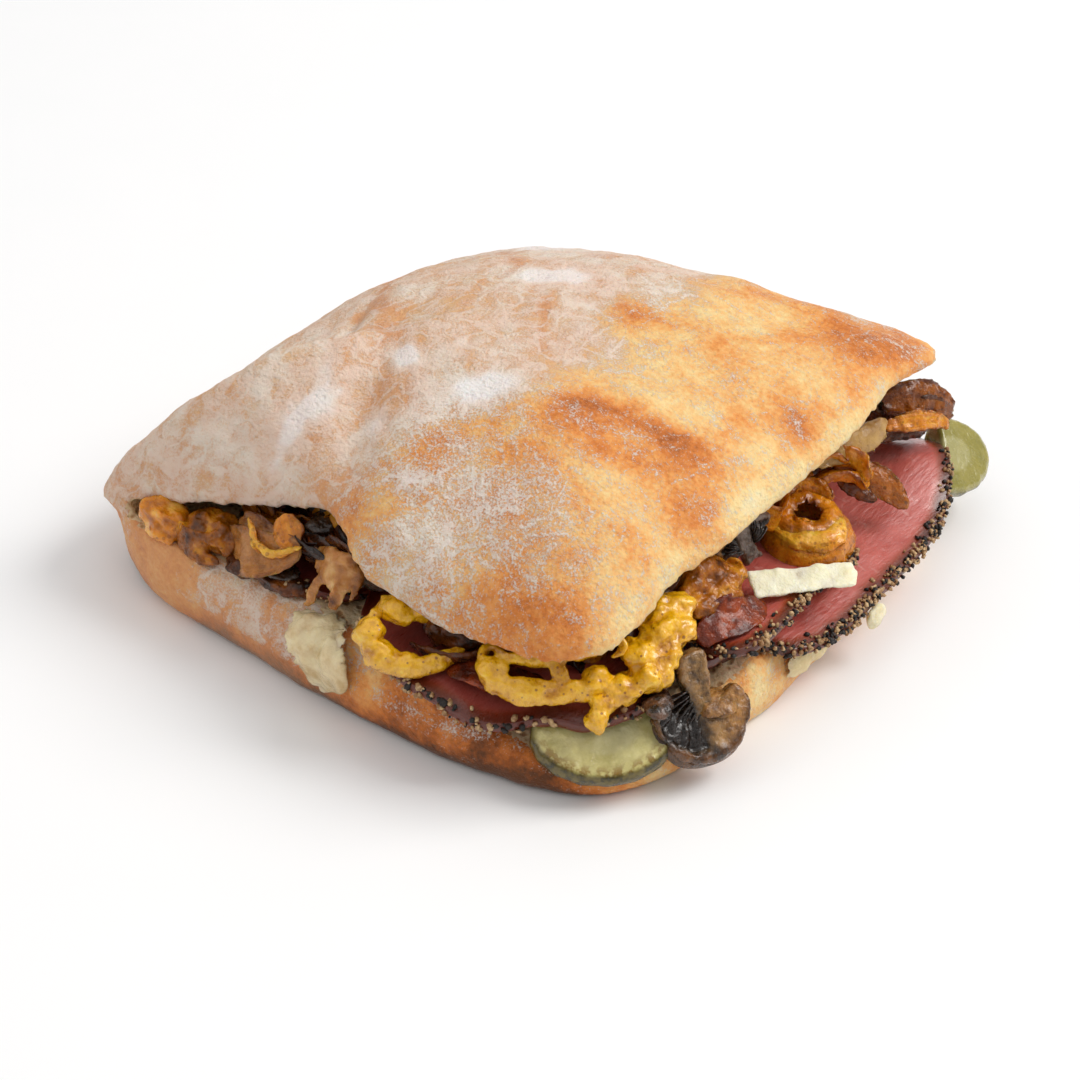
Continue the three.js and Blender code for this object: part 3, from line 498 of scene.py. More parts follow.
class Tree:
    """The nodes of a material or of a node group, with short ways to add and join them."""

    def __init__(self, nodes: bpy.types.NodeTree) -> None:
        """Wraps a node tree.

        Args:
            nodes: The tree, emptied first.
        """
        self.nodes = nodes
        nodes.nodes.clear()

    def add(self, kind: str, **settings: object) -> bpy.types.Node:
        """Adds a node.

        Args:
            kind: Blender's name of the node's type.
            settings: Properties of the node, or values of its inputs where a key is in_NAME.

        Returns:
            The node.
        """
        node = self.nodes.nodes.new(kind)
        for key, value in settings.items():
            if key.startswith("in_"):
                node.inputs[key[3:].replace("_", " ")].default_value = value
            else:
                setattr(node, key, value)
        return node

    def join(self, source: object, target: object) -> None:
        """Links an output to an input."""
        self.nodes.links.new(source, target)

    def mark(self, name: str) -> bpy.types.NodeSocket:
        """A mark of the mesh."""
        return self.add("ShaderNodeAttribute", attribute_name=name).outputs["Fac"]

    def maths(self, way: str, a: object, b: object = 0.0, c: object = 0.0) -> object:
        """One step of arithmetic.

        Args:
            way: Blender's name of the operation.
            a: A socket or a number.
            b: A socket or a number.
            c: A socket or a number.

        Returns:
            The output socket.
        """
        node = self.add("ShaderNodeMath", operation=way)
        for slot, value in enumerate((a, b, c)):
            if isinstance(value, (int, float)):
                node.inputs[slot].default_value = value
            else:
                self.join(value, node.inputs[slot])
        return node.outputs[0]

    def span(self, value: object, low: float, high: float, to: tuple[float, float]) -> object:
        """A value's stretch from low to high, eased, mapped onto to.

        Args:
            value: The socket read.
            low: Where the ease starts.
            high: Where it ends.
            to: The two values that it is mapped onto.

        Returns:
            The output socket.
        """
        node = self.add("ShaderNodeMapRange", interpolation_type="SMOOTHSTEP")
        for slot, number in ((1, low), (2, high), (3, to[0]), (4, to[1])):
            node.inputs[slot].default_value = number
        self.join(value, node.inputs[0])
        return node.outputs[0]

    def mix(self, share: object, a: object, b: object) -> object:
        """A mix of two colours.

        Args:
            share: Share of b, a socket or a number.
            a: A colour socket or a hex code.
            b: A colour socket or a hex code.

        Returns:
            The colour socket.
        """
        node = self.add("ShaderNodeMix", data_type="RGBA")
        for slot, value in ((0, share), (6, a), (7, b)):
            if isinstance(value, str):
                node.inputs[slot].default_value = colour(value)
            elif isinstance(value, (int, float)):
                node.inputs[slot].default_value = value
            else:
                self.join(value, node.inputs[slot])
        return node.outputs[2]

    def ramp(self, value: object, stops: Sequence[tuple[float, str]]) -> object:
        """A colour read off a row of colours.

        Args:
            value: The socket read.
            stops: Places from 0 to 1 and hex codes.

        Returns:
            The colour socket.
        """
        node = self.add("ShaderNodeValToRGB")
        row = node.color_ramp.elements
        row[0].position, row[0].color = stops[0][0], colour(stops[0][1])
        row[1].position, row[1].color = stops[-1][0], colour(stops[-1][1])
        for place, code in stops[1:-1]:
            row.new(place).color = colour(code)
        self.join(value, node.inputs[0])
        return node.outputs[0]

    def places(self, squeeze: Triple = (1, 1, 1)) -> object:
        """Positions on the object in millimetres, squeezed along the axes."""
        where = self.add("ShaderNodeTexCoord").outputs["Object"]
        node = self.add("ShaderNodeVectorMath", operation="MULTIPLY")
        node.inputs[1].default_value = [k / MM for k in squeeze]
        self.join(where, node.inputs[0])
        return node.outputs[0]

    def noise(self, where: object, size: float, detail: float = 3.0, rough: float = 0.55) -> object:
        """Soft noise from 0 to 1.

        Args:
            where: The position socket, in millimetres.
            size: Width of a bump.
            detail: Octaves.
            rough: Share of the finer octaves.

        Returns:
            The value socket.
        """
        node = self.add("ShaderNodeTexNoise", in_Scale=1 / size, in_Detail=detail)
        node.inputs["Roughness"].default_value = rough
        self.join(where, node.inputs["Vector"])
        return node.outputs["Fac"]

    def spots(self, where: object, size: float, feature: str = "F1") -> object:
        """Distance to scattered spots, as a share of their spacing.

        Args:
            where: The position socket, in millimetres.
            size: Spacing of the spots.
            feature: F1 for spots, DISTANCE_TO_EDGE for a net of cracks.

        Returns:
            The value socket.
        """
        node = self.add("ShaderNodeTexVoronoi", feature=feature, in_Scale=1 / size)
        self.join(where, node.inputs["Vector"])
        return node.outputs["Distance"]


class Effects:
    """Shader node groups that several finishes share, each made once."""

    made: dict[str, bpy.types.NodeTree] = {}

    @classmethod
    def group(
        cls,
        name: str,
        inputs: Sequence[tuple[str, float]],
        output: str,
        build: Callable[[Tree, object], object],
    ) -> bpy.types.NodeTree:
        """A group with number inputs and one number output.

        Args:
            name: The group's name.
            inputs: Names and first values of its inputs.
            output: Name of its output.
            build: Fills it: takes its tree and its input node, and returns the output socket.

        Returns:
            The group.
        """
        if name not in cls.made:
            group = bpy.data.node_groups.new(name, "ShaderNodeTree")
            for title, value in inputs:
                socket = group.interface.new_socket(title, in_out="INPUT", socket_type="NodeSocketFloat")
                socket.default_value = value
            group.interface.new_socket(output, in_out="OUTPUT", socket_type="NodeSocketFloat")
            tree = Tree(group)
            entry = tree.add("NodeGroupInput")
            leave = tree.add("NodeGroupOutput")
            tree.join(build(tree, entry), leave.inputs[0])
            cls.made[name] = group
        return cls.made[name]

    @classmethod
    def dusting(cls) -> bpy.types.NodeTree:
        """Flour that lies in fine grains, thick in some places and broken by fine cracks."""

        def build(tree: Tree, entry: object) -> object:
            """Fills the group."""
            where = tree.places()
            fine = tree.noise(where, 0.5, 3.0, 0.7)
            wide = tree.noise(where, 6.5, 3.0, 0.6)
            bent = tree.add("ShaderNodeVectorMath", operation="MULTIPLY_ADD")
            bent.inputs[1].default_value = (9.0, 9.0, 9.0)
            swirl = tree.add("ShaderNodeTexNoise", in_Scale=1 / 7.0, in_Detail=3.0)
            tree.join(where, swirl.inputs["Vector"])
            tree.join(swirl.outputs["Color"], bent.inputs[0])
            tree.join(where, bent.inputs[2])
            crack = tree.spots(bent.outputs[0], 9.0, "DISTANCE_TO_EDGE")
            split = tree.span(crack, 0.0, 0.11, (1.0, 0.0))
            lost = tree.maths("MULTIPLY", split, entry.outputs["Cracks"])
            rings = tree.maths("FRACT", tree.maths("MULTIPLY", tree.noise(bent.outputs[0], 16.0, 1.0), 9.0))
            line = tree.span(tree.maths("ABSOLUTE", tree.maths("SUBTRACT", rings, 0.5)), 0.05, 0.2, (1.0, 0.0))
            level = tree.maths("MULTIPLY_ADD", wide, 0.9, -0.45)
            level = tree.maths("ADD", level, entry.outputs["Density"])
            level = tree.maths("SUBTRACT", level, lost)
            level = tree.maths("MULTIPLY_ADD", line, entry.outputs["Lines"], level)
            grain = tree.maths("MULTIPLY_ADD", fine, 2.4, -1.2)
            level = tree.maths("MULTIPLY_ADD", grain, entry.outputs["Grain"], level)
            level = tree.maths("SUBTRACT", level, 0.5)
            level = tree.maths("MULTIPLY_ADD", level, entry.outputs["Sharp"], 0.5)
            return tree.span(level, 0.0, 1.0, (0.0, 1.0))

        inputs = [("Density", 0.5), ("Cracks", 0.4), ("Grain", 0.4), ("Lines", 0.0), ("Sharp", 1.4)]
        return cls.group("flour_dusting", inputs, "Cover", build)

    @classmethod
    def mottle(cls) -> bpy.types.NodeTree:
        """Uneven browning and wetness: broad clouds with finer ones in them."""

        def build(tree: Tree, entry: object) -> object:
            """Fills the group."""
            where = tree.places()
            scaled = tree.add("ShaderNodeVectorMath", operation="SCALE")
            tree.join(where, scaled.inputs[0])
            inverse = tree.maths("DIVIDE", 1.0, entry.outputs["Size"])
            tree.join(inverse, scaled.inputs["Scale"])
            cloud = tree.noise(scaled.outputs[0], 1.0, 4.0, 0.6)
            level = tree.maths("MULTIPLY_ADD", cloud, 2.0, -1.0)
            return tree.maths("MULTIPLY", level, entry.outputs["Amount"])

        return cls.group("mottle", [("Size", 4.0), ("Amount", 0.5)], "Shade", build)

    @classmethod
    def specks(cls) -> bpy.types.NodeTree:
        """Scattered specks of one size, some spots left bare."""

        def build(tree: Tree, entry: object) -> object:
            """Fills the group."""
            where = tree.places()
            scaled = tree.add("ShaderNodeVectorMath", operation="SCALE")
            tree.join(where, scaled.inputs[0])
            tree.join(tree.maths("DIVIDE", 1.0, entry.outputs["Spacing"]), scaled.inputs["Scale"])
            near = tree.spots(scaled.outputs[0], 1.0)
            patchy = tree.noise(where, 5.0, 2.0)
            size = tree.maths("MULTIPLY", patchy, entry.outputs["Width"])
            edge = tree.maths("SUBTRACT", size, near)
            return tree.span(edge, -0.02, 0.06, (0.0, 1.0))

        return cls.group("specks", [("Spacing", 2.5), ("Width", 0.4)], "Cover", build)


@dataclass(frozen=True)
class Finish:
    """A material: subclasses lay out its nodes in dress()."""

    name: str

    def make(self) -> bpy.types.Material:
        """The material, made once for each name.

        Returns:
            The Blender material.
        """
        found = bpy.data.materials.get(self.name)
        if found:
            return found
        material = bpy.data.materials.new(self.name)
        material.use_nodes = True
        tree = Tree(material.node_tree)
        shader = tree.add("ShaderNodeBsdfPrincipled")
        out = tree.add("ShaderNodeOutputMaterial")
        tree.join(shader.outputs[0], out.inputs[0])
        self.dress(tree, shader)
        return material

    def dress(self, tree: Tree, shader: bpy.types.Node) -> None:
        """Lays out the finish's nodes.

        Args:
            tree: The material's nodes.
            shader: Its Principled shader.
        """
        raise NotImplementedError

    @staticmethod
    def effect(tree: Tree, group: bpy.types.NodeTree, **values: object) -> object:
        """Places a shared effect.

        Args:
            tree: The material's nodes.
            group: The effect's node group.
            values: Its inputs, numbers or sockets.

        Returns:
            The effect's output socket.
        """
        node = tree.add("ShaderNodeGroup", node_tree=group)
        for key, value in values.items():
            if isinstance(value, (int, float)):
                node.inputs[key].default_value = value
            else:
                tree.join(value, node.inputs[key])
        return node.outputs[0]

    @staticmethod
    def bump(tree: Tree, shader: bpy.types.Node, height: object, depth: float) -> None:
        """Adds fine relief.

        Args:
            tree: The material's nodes.
            shader: Its Principled shader.
            height: The height socket, 0 to 1.
            depth: Depth of a height of 1, in millimetres.
        """
        node = tree.add("ShaderNodeBump", in_Strength=1.0, in_Distance=depth * MM)
        tree.join(height, node.inputs["Height"])
        tree.join(node.outputs[0], shader.inputs["Normal"])

    @staticmethod
    def flesh(shader: bpy.types.Node, weight: float, depth: Triple, coat: float = 0.0) -> None:
        """Light that enters the food and comes out beside where it entered.

        Args:
            shader: The Principled shader.
            weight: Share of the light that does.
            depth: How far red, green and blue travel, in millimetres.
            coat: Share of a clear wet film on top.
        """
        shader.inputs["Subsurface Weight"].default_value = weight
        shader.inputs["Subsurface Radius"].default_value = depth
        shader.inputs["Subsurface Scale"].default_value = MM
        shader.inputs["Coat Weight"].default_value = coat
        shader.inputs["Coat Roughness"].default_value = 0.12


@dataclass(frozen=True)
class Crust(Finish):
    """Baked crust: one mark says how brown each place is, with painted shade low on the base's near side, and the mark
    flour says how dusted it is.
    """

    def dress(self, tree: Tree, shader: bpy.types.Node) -> None:
        """Lays out the crust."""
        where = tree.places()
        broad = self.effect(tree, Effects.mottle(), Size=9.0, Amount=0.24)
        fine = self.effect(tree, Effects.mottle(), Size=1.3, Amount=0.24)
        # The browning mark also carries painted shade, low on the base's near side.
        heat = tree.maths("ADD", tree.maths("ADD", tree.mark("baked"), broad), fine)
        baked = tree.ramp(
            heat,
            [
                (0.0, "F8E9BE"), (0.2, "FBDC9C"), (0.36, "F8C27A"), (0.5, "F0A052"), (0.64, "DC8034"),
                (0.8, "B4601E"), (1.0, "6A3A12"),
            ],
        )
        dust = tree.mark("flour")
        matte = tree.mark("matte")
        baked = tree.mix(tree.maths("MULTIPLY", matte, 0.6), baked, "D6A47E")
        grain = tree.maths("MULTIPLY_ADD", matte, -0.25, 0.45)
        film = self.effect(tree, Effects.dusting(), Density=dust, Cracks=0.1, Grain=grain, Lines=0.12, Sharp=1.3)
        clumps = tree.maths("SUBTRACT", dust, 0.06)
        grain = tree.maths("MULTIPLY_ADD", matte, -0.9, 1.5)
        clumps = self.effect(tree, Effects.dusting(), Density=clumps, Cracks=0.16, Grain=grain, Lines=0.3, Sharp=1.8)
        rosy = tree.span(tree.noise(where, 12.0, 4.0), 0.34, 0.58, (0.0, 1.0))
        haze = tree.mix(rosy, "E8D2BC", "E2B08E")
        thick = tree.span(dust, 0.8, 1.15, (0.0, 1.0))
        white = tree.mix(thick, "F2ECE5", "F8F8F8")
        flour = tree.maths("MULTIPLY_ADD", clumps, 0.5, tree.maths("MULTIPLY", film, 0.5))
        tone = tree.mix(tree.maths("MULTIPLY", film, tree.maths("MULTIPLY_ADD", matte, 0.14, 0.72)), baked, haze)
        cover = tree.maths("MULTIPLY_ADD", thick, 0.26, tree.maths("MULTIPLY_ADD", matte, -0.28, 0.7))
        tone = tree.mix(tree.maths("MULTIPLY", clumps, cover), tone, white)
        tree.join(tone, shader.inputs["Base Color"])
        bare = tree.maths("MULTIPLY_ADD", heat, -0.25, 0.62)
        tree.join(tree.maths("MULTIPLY_ADD", flour, 0.35, bare), shader.inputs["Roughness"])
        shader.inputs["Specular IOR Level"].default_value = 0.35
        self.flesh(shader, 0.12, (2.4, 1.2, 0.6))
        skin = tree.noise(where, 0.8, 4.0, 0.65)
        pits = tree.span(tree.spots(where, 1.7), 0.0, 0.45, (0.0, 1.0))
        height = tree.maths("MULTIPLY_ADD", pits, 0.35, skin)
        self.bump(tree, shader, tree.maths("MULTIPLY_ADD", flour, 0.35, height), 0.6)


@dataclass(frozen=True)
class Crumb(Finish):
    """Torn white crumb, soft and full of small holes."""

    def dress(self, tree: Tree, shader: bpy.types.Node) -> None:
        """Lays out the crumb."""
        where = tree.places()
        holes = tree.span(tree.spots(where, 2.1), 0.12, 0.5, (0.0, 1.0))
        shade = self.effect(tree, Effects.mottle(), Size=5.0, Amount=0.5)
        # Painted shade: the crumb's colour is darker inside its holes.
        tone = tree.ramp(
            tree.maths("ADD", tree.maths("MULTIPLY", holes, 0.55), shade),
            [(0.0, "A97C4E"), (0.35, "D8B687"), (0.75, "EED9B4"), (1.0, "F5E8CD")],
        )
        tree.join(tone, shader.inputs["Base Color"])
        shader.inputs["Roughness"].default_value = 0.82
        self.flesh(shader, 0.25, (3.0, 1.8, 1.0))
        height = tree.maths("MULTIPLY_ADD", holes, 0.8, tree.noise(where, 0.9, 4.0))
        self.bump(tree, shader, height, 0.6)


# ---- Pieces --------------------------------------------------------------------------------------


class Piece:
    """A finished piece of the sandwich."""

    @staticmethod
    def put(
        name: str,
        form: Form,
        finishes: Sequence[Finish],
        slot: str,
        stands_for: Sequence[str] = (),
        second: Array | None = None,
    ) -> bpy.types.Object:
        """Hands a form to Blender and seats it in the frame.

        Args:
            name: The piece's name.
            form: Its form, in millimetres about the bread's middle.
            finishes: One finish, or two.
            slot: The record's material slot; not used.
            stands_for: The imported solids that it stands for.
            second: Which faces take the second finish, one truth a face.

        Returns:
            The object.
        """
        mesh = form.mesh(name)
        for finish in finishes:
            mesh.materials.append(finish.make())
        if second is not None:
            mesh.polygons.foreach_set("material_index", second.astype(np.int32))
        piece = bpy.data.objects.new(name, mesh)
        bpy.context.scene.collection.objects.link(piece)
        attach(piece, "root")
        if stands_for:
            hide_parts(*stands_for)
        LOG.info("%s: %d triangles", name, len(form.corners()))
        return piece


# ---- The roll ------------------------------------------------------------------------------------


@dataclass
class CiabattaRoll:
    """One roll, sliced from one side: its base and its raised lid are joined along a hinge."""

    base: Outline = Outline(
        3.5, -2, 73.5, 69, 6,
        (
            (-180, 1, 18, 2), (-145, 13.5, 18, -5.5), (-134, 5, 19, 0), (-115, -3, 20.5, 6.5), (-85, -1, 19, 6),
            (-66, 0, 15.5, 4.5), (-46, -4, 7.5, 3.5), (-28, -2, 13, 3), (-10, 0, 16, 3), (45, -4, 15, 3),
            (90, -1, 17, 3), (135, -2, 17, 3),
        ),
    )
    lid: Outline = Outline(
        0.5, 0.5, 70.5, 68.5, 8,
        (
            (-180, 2, 13, 3.0), (-150, 10, 14, 1.8), (-139, 11, 16, 1.9), (-132, 2, 24, 3.2),
            (-123, -2, 30, 2.8), (-105, -6, 38, 2.6), (-96, -6, 40, 2.6), (-80, 3, 36, 2.5), (-65, 3, 33, 2.5),
            (-54, 3, 34, 2.4), (-43, 1, 37, 2.2), (-31, -4, 40.5, 2.3), (-18, -1.5, 43, 2.4),
            (8, -1.6, 43.8, 2.4), (25, -2.2, 46, 2.3), (37, -4.4, 46.4, 2.0), (46, 4, 45, 1.3),
            (60, -3, 42, 2.6), (75, -6, 43, 2.5), (100, -5, 35, 2.5), (122, -3, 26, 1.7), (136, 0, 16, 1.6),
            (150, 1, 13, 2.1),
        ),
    )
    base_middle: float = 18.5
    base_flatness: float = 4.0
    foot: float = 0.92
    belt: float = 0.5
    shoulder: tuple[float, float] = (0.55, 0.86)
    lid_middle: float = 43.0
    lid_flatness: float = 2.2
    crust: float = 2.2
    crown: float = 64.7
    fall: float = 0.66
    crown_power: float = 2.5
    hinge: float = 1.2
    spokes: int = 300
    voxel: float = 1.08
    relief: tuple[Swell, ...] = (
        Swell(-40, -42, 22, 15, 20, 1.4), Swell(-13, -44, 26, 6, 115, -4.5), Swell(28, -32, 30, 20, -20, 3.0),
        Swell(-48, 10, 20, 14, 70, -1.5), Swell(46, 44, 16, 9, -40, -1.6),
    )
    # Where the golden side of the lid begins, as y and x from back to front.
    golden: tuple[tuple[float, float], ...] = (
        (-80, -6), (-56, 2), (-40, 12), (-26, 22), (-12, 27), (0, 22), (14, 13), (28, 20), (44, 20), (70, 8),
    )
    # Where the oven browned the lid more or less than its surroundings.
    browning: tuple[Swell, ...] = (
        Swell(47, -15, 11, 4, 10, 0.26), Swell(34, -22, 10, 4.5, 42, 0.24),
        Swell(30, -29, 6, 4, 60, 0.16), Swell(60, -20, 12, 8, -20, 0.16),
        Swell(44, -25, 16, 6, 0, 0.1), Swell(56, 46, 10, 6, -30, 0.22),
        Swell(50, 57, 14, 7, -10, 0.18), Swell(64, 60, 9, 9, 0, 0.26),
        Swell(44, 32, 9, 2.4, 55, 0.14), Swell(39, 20, 9, 2.4, 80, 0.1),
        Swell(27, 50, 12, 5, -60, 0.08), Swell(62, 14, 5, 4, 20, 0.24),
        Swell(18, 14, 9, 6, 10, 0.1), Swell(14, 4, 6, 5, 10, 0.06),
        Swell(46, 6, 16, 4, 80, 0.04), Swell(35, 30, 9, 8, 0, -0.12),
        Swell(36, 0, 12, 9, 0, -0.16), Swell(52, -36, 12, 6, 10, -0.14),
        Swell(66, -4, 8, 14, 0, -0.08), Swell(36, 44, 8, 6, 0, -0.06),
        Swell(52, -66, 14, 7, 14, 0.2), Swell(66, -48, 8, 12, 0, -0.05), Swell(36, -73, 8, 3, 0, 0.1), Swell(20, -68, 12, 6, 0, -0.06),
        Swell(38, -38, 10, 8, 0, 0.14), Swell(36, -50, 20, 8, 0, 0.08),
        Swell(14, -44, 12, 9, 20, 0.08), Swell(34, -58, 9, 5, 10, 0.08),
        Swell(-12, -36, 6, 5, 0, 0.16), Swell(-39, -14, 3.6, 2.6, -60, 0.22),
        Swell(-22, 20, 13, 2.4, -50, 0.3), Swell(-38, 34, 16, 3.4, -55, 0.22),
        Swell(-48, 6, 26, 3.4, -52, 0.24), Swell(-32, -14, 20, 2.4, -60, 0.2),
        Swell(-10, 38, 12, 4, -60, 0.18), Swell(-5, -60, 16, 4, -25, 0.16),
        Swell(-18, -66, 14, 3, 0, 0.16), Swell(-65, 14, 7, 3.4, 80, 0.24),
        Swell(-54, 58, 12, 6, -50, 0.12), Swell(-66, -10, 50, 5, 92, 0.12),
        Swell(-50, -64, 26, 4, 0, 0.12), Swell(0, 8, 18, 2.6, -65, 0.16),
        Swell(8, -8, 14, 2, -62, 0.16), Swell(-22, -26, 12, 2.4, -60, 0.2),
    )
    # Where the flour on the lid lies thicker or thinner than its surroundings.
    flouring: tuple[Swell, ...] = (
        Swell(-7, 19, 9, 6, 30, 0.75), Swell(10, -31, 5.5, 5, 0, 0.6),
        Swell(-13, -29, 4.5, 2.6, 10, 0.7), Swell(-9, -47, 5, 4, 0, 0.3),
        Swell(10, -55, 5, 2.2, 10, 0.55), Swell(-24, -50, 4.5, 9, 5, 0.6),
        Swell(-36, 48, 15, 9, -10, 0.6), Swell(6, 50, 10, 14, 20, 0.15),
        Swell(18, 24, 4, 6, 0, 0.35), Swell(46, 64, 8, 3, 15, 0.6),
        Swell(30, 62, 14, 5, 0, 0.4), Swell(30, -2, 7, 8, 20, 0.22),
        Swell(26, -56, 17, 13, -10, 0.44), Swell(40, -46, 13, 9, 0, 0.22), Swell(20, -69, 16, 8, -6, 0.4), Swell(52, -66, 12, 5, 10, -0.1),
        Swell(50, -55, 8, 6, 0, 0.14), Swell(12, -40, 12, 10, 0, 0.2), Swell(62, 14, 4, 3.4, 0, 0.3),
        Swell(56, 58, 14, 7, 0, 0.16), Swell(46, -22, 14, 5, 10, 0.14),
        Swell(54, -68, 10, 4, 0, -0.1), Swell(-12, -37, 5, 4, 0, -0.22),
        Swell(-39, -14, 3.6, 2.6, -60, -0.4), Swell(-22, 20, 13, 2.4, -50, -0.4),
        Swell(-65, 14, 7, 3.4, 80, -0.35), Swell(-5, -61, 16, 4, -25, -0.2),
        Swell(-48, 6, 26, 3.4, -52, -0.26), Swell(-32, -14, 20, 2.4, -60, -0.22),
        Swell(-18, -8, 16, 12, 70, -0.16), Swell(-62, -36, 12, 24, 0, -0.12),
        Swell(0, 8, 18, 2.6, -65, -0.16), Swell(8, -8, 14, 2, -62, -0.2),
        Swell(-22, -26, 12, 2.4, -60, -0.2), Swell(-38, 34, 16, 3.4, -55, -0.2),
    )

    @staticmethod
    def _bend(middle: float, rim: Array, t: Array, flatness: float) -> Array:
        """Height of a cut face: level in the middle, bending to the rim's height."""
        return middle + (rim - middle) * np.minimum(t, 1.0) ** flatness

    def bed(self, x: Array, y: Array, droop: float = 0.3) -> Array:
        """Height of the base's cut face, carried on past its rim.

        Args:
            x: Plan coordinates.
            y: Plan coordinates.
            droop: Fall for each millimetre past the rim.

        Returns:
            One height a point.
        """
        degrees, distance, rim = self.base.place(x, y)
        height = self._bend(self.base_middle, self.base.column(degrees, 2), distance / rim, self.base_flatness)
        return height - droop * np.maximum(0.0, distance - rim)

    def ceiling(self, x: Array, y: Array) -> Array:
        """Height of the lid's underside over plan points."""
        degrees, distance, rim = self.lid.place(x, y)
        return self._bend(self.lid_middle, self.lid.column(degrees, 2), distance / rim, self.lid_flatness)

    def dome(self, degrees: Array, t: Array) -> Array:
        """Height of the lid's crust.

        Args:
            degrees: Compass angles.
            t: Distances from the middle as shares of the rim's.

        Returns:
            One height a point.
        """
        reach = self.lid.reach(degrees) * t
        x = self.lid.x + reach * np.cos(np.radians(degrees))
        y = self.lid.y + reach * np.sin(np.radians(degrees))
        edge = self.lid.column(degrees, 2) + self.crust
        power = blend(self.crown_power, self.lid.column(degrees, 3), smooth(t, 0, 0.6))
        swell = swells_at(self.relief, x, y) * (1 - t**6)
        return edge + (self.crown - edge) * (1 - t**power) ** self.fall + swell

    def shell(self) -> tuple[Form, Array]:
        """The roll as one closed surface, and for each face 1 where it is a cut face.

        Returns:
            The form and its faces' kinds.
        """
        degrees = -180 + 360 * np.arange(self.spokes) / self.spokes
        base_reach, lid_reach = self.base.reach(degrees), self.lid.reach(degrees)
        base_rim, lid_rim = self.base.column(degrees, 2), self.lid.column(degrees, 2)
        crease = np.ones(self.spokes)
        for share in np.arange(1.0, 0.5, -0.005):
            low = self._bend(self.base_middle, base_rim, share, self.base_flatness)
            high = self._bend(self.lid_middle, lid_rim, share, self.lid_flatness)
            crease = np.where((crease >= share) & (high < low + self.hinge), share - 0.005, crease)
        closed = crease < 1
        points: list[Array] = []

        def ring(outline: Outline, reach: Array, t: Array, z: Array) -> Array:
            """Adds one ring of points and returns their numbers."""
            x = outline.x + reach * t * np.cos(np.radians(degrees))
            y = outline.y + reach * t * np.sin(np.radians(degrees))
            points.append(np.stack([x, y, z + np.zeros(self.spokes)], axis=1))
            return np.arange(self.spokes) + self.spokes * (len(points) - 1)

        steps = 1 - (1 - np.linspace(0.02, 1, 46)) ** 1.8
        dome = [ring(self.lid, lid_reach, t, self.dome(degrees, np.full(self.spokes, t))) for t in steps]
        inner = np.linspace(0.04, 1, 16)
        roof = [
            ring(self.lid, lid_reach, t * crease, self._bend(self.lid_middle, lid_rim, t * crease, self.lid_flatness))
            for t in inner
        ]
        floor = [
            ring(
                self.base, base_reach, t * crease,
                self._bend(self.base_middle, base_rim, t * crease, self.base_flatness),
            )
            for t in inner
        ]
        belly = 1 + self.base.column(degrees, 3) / base_reach
        foot = [ring(self.base, base_reach, self.foot * belly * t, np.zeros(self.spokes)) for t in (0.1, 0.5, 1)]
        side = []
        for share in np.linspace(0.12, 1, 9):
            bow = math.sqrt(1 - (1 - share) ** 2)
            z = base_rim * self.belt * (1 - math.cos(share * math.pi / 2))
            side.append(ring(self.base, base_reach, belly * (self.foot + (1 - self.foot) * bow), z))
        out, up = self.shoulder
        side.append(ring(self.base, base_reach, 1 + (belly - 1) * out, base_rim * up))
        seam = ring(self.base, base_reach, np.full(self.spokes, 0.995), base_rim)
        roof[-1] = np.where(closed, floor[-1], roof[-1])
        low = np.where(closed, seam, floor[-1])
        high = np.where(closed, seam, roof[-1])
        faces: list[Array] = []
        kinds: list[Array] = []

        def strip(a: Array, b: Array, kind: int) -> None:
            """Joins two rings, a inside or below b, by faces of one kind."""
            quads = np.stack([a, b, np.roll(b, -1), np.roll(a, -1)], axis=1)
            faces.append(quads)
            kinds.append(np.full(len(quads), kind))

        for a, b in zip(dome, dome[1:]):
            strip(a, b, 0)
        strip(dome[-1], high, 0)
        for a, b in zip(roof, roof[1:]):
            strip(b, a, 1)
        for a, b in zip(floor, floor[1:]):
            strip(a, b, 3)
        strip(low, side[-1], 2)
        outer = [*reversed(side), *reversed(foot)]
        for a, b in zip(outer, outer[1:]):
            strip(a, b, 2)
        for k in range(self.spokes):
            n = (k + 1) % self.spokes
            if closed[k] != closed[n]:
                shut, open_ = (k, n) if closed[k] else (n, k)
                trio = [[seam[shut], floor[-1][open_], floor[-1][shut], -1]]
                trio.append([seam[shut], floor[-1][shut], roof[-1][open_], -1])
                if not closed[k]:
                    trio = [[a, c, b, -1] for a, b, c, _ in trio]
                    trio = [[a, c, b, -1] for a, b, c, _ in trio]
                faces.append(np.array(trio))
                kinds.append(np.full(2, 2))
        cloud = np.concatenate(points)
        caps = [(dome[0], 0, False), (roof[0], 1, True), (floor[0], 3, False), (foot[0], 2, True)]
        for rim, kind, under in caps:
            cloud = np.concatenate([cloud, cloud[rim].mean(axis=0)[None]])
            centre = np.full(self.spokes, len(cloud) - 1)
            a, b = (np.roll(rim, -1), rim) if under else (rim, np.roll(rim, -1))
            faces.append(np.stack([centre, a, b, np.full(self.spokes, -1)], axis=1))
            kinds.append(np.full(self.spokes, kind))
        return Form(cloud, np.concatenate(faces)), np.concatenate(kinds)

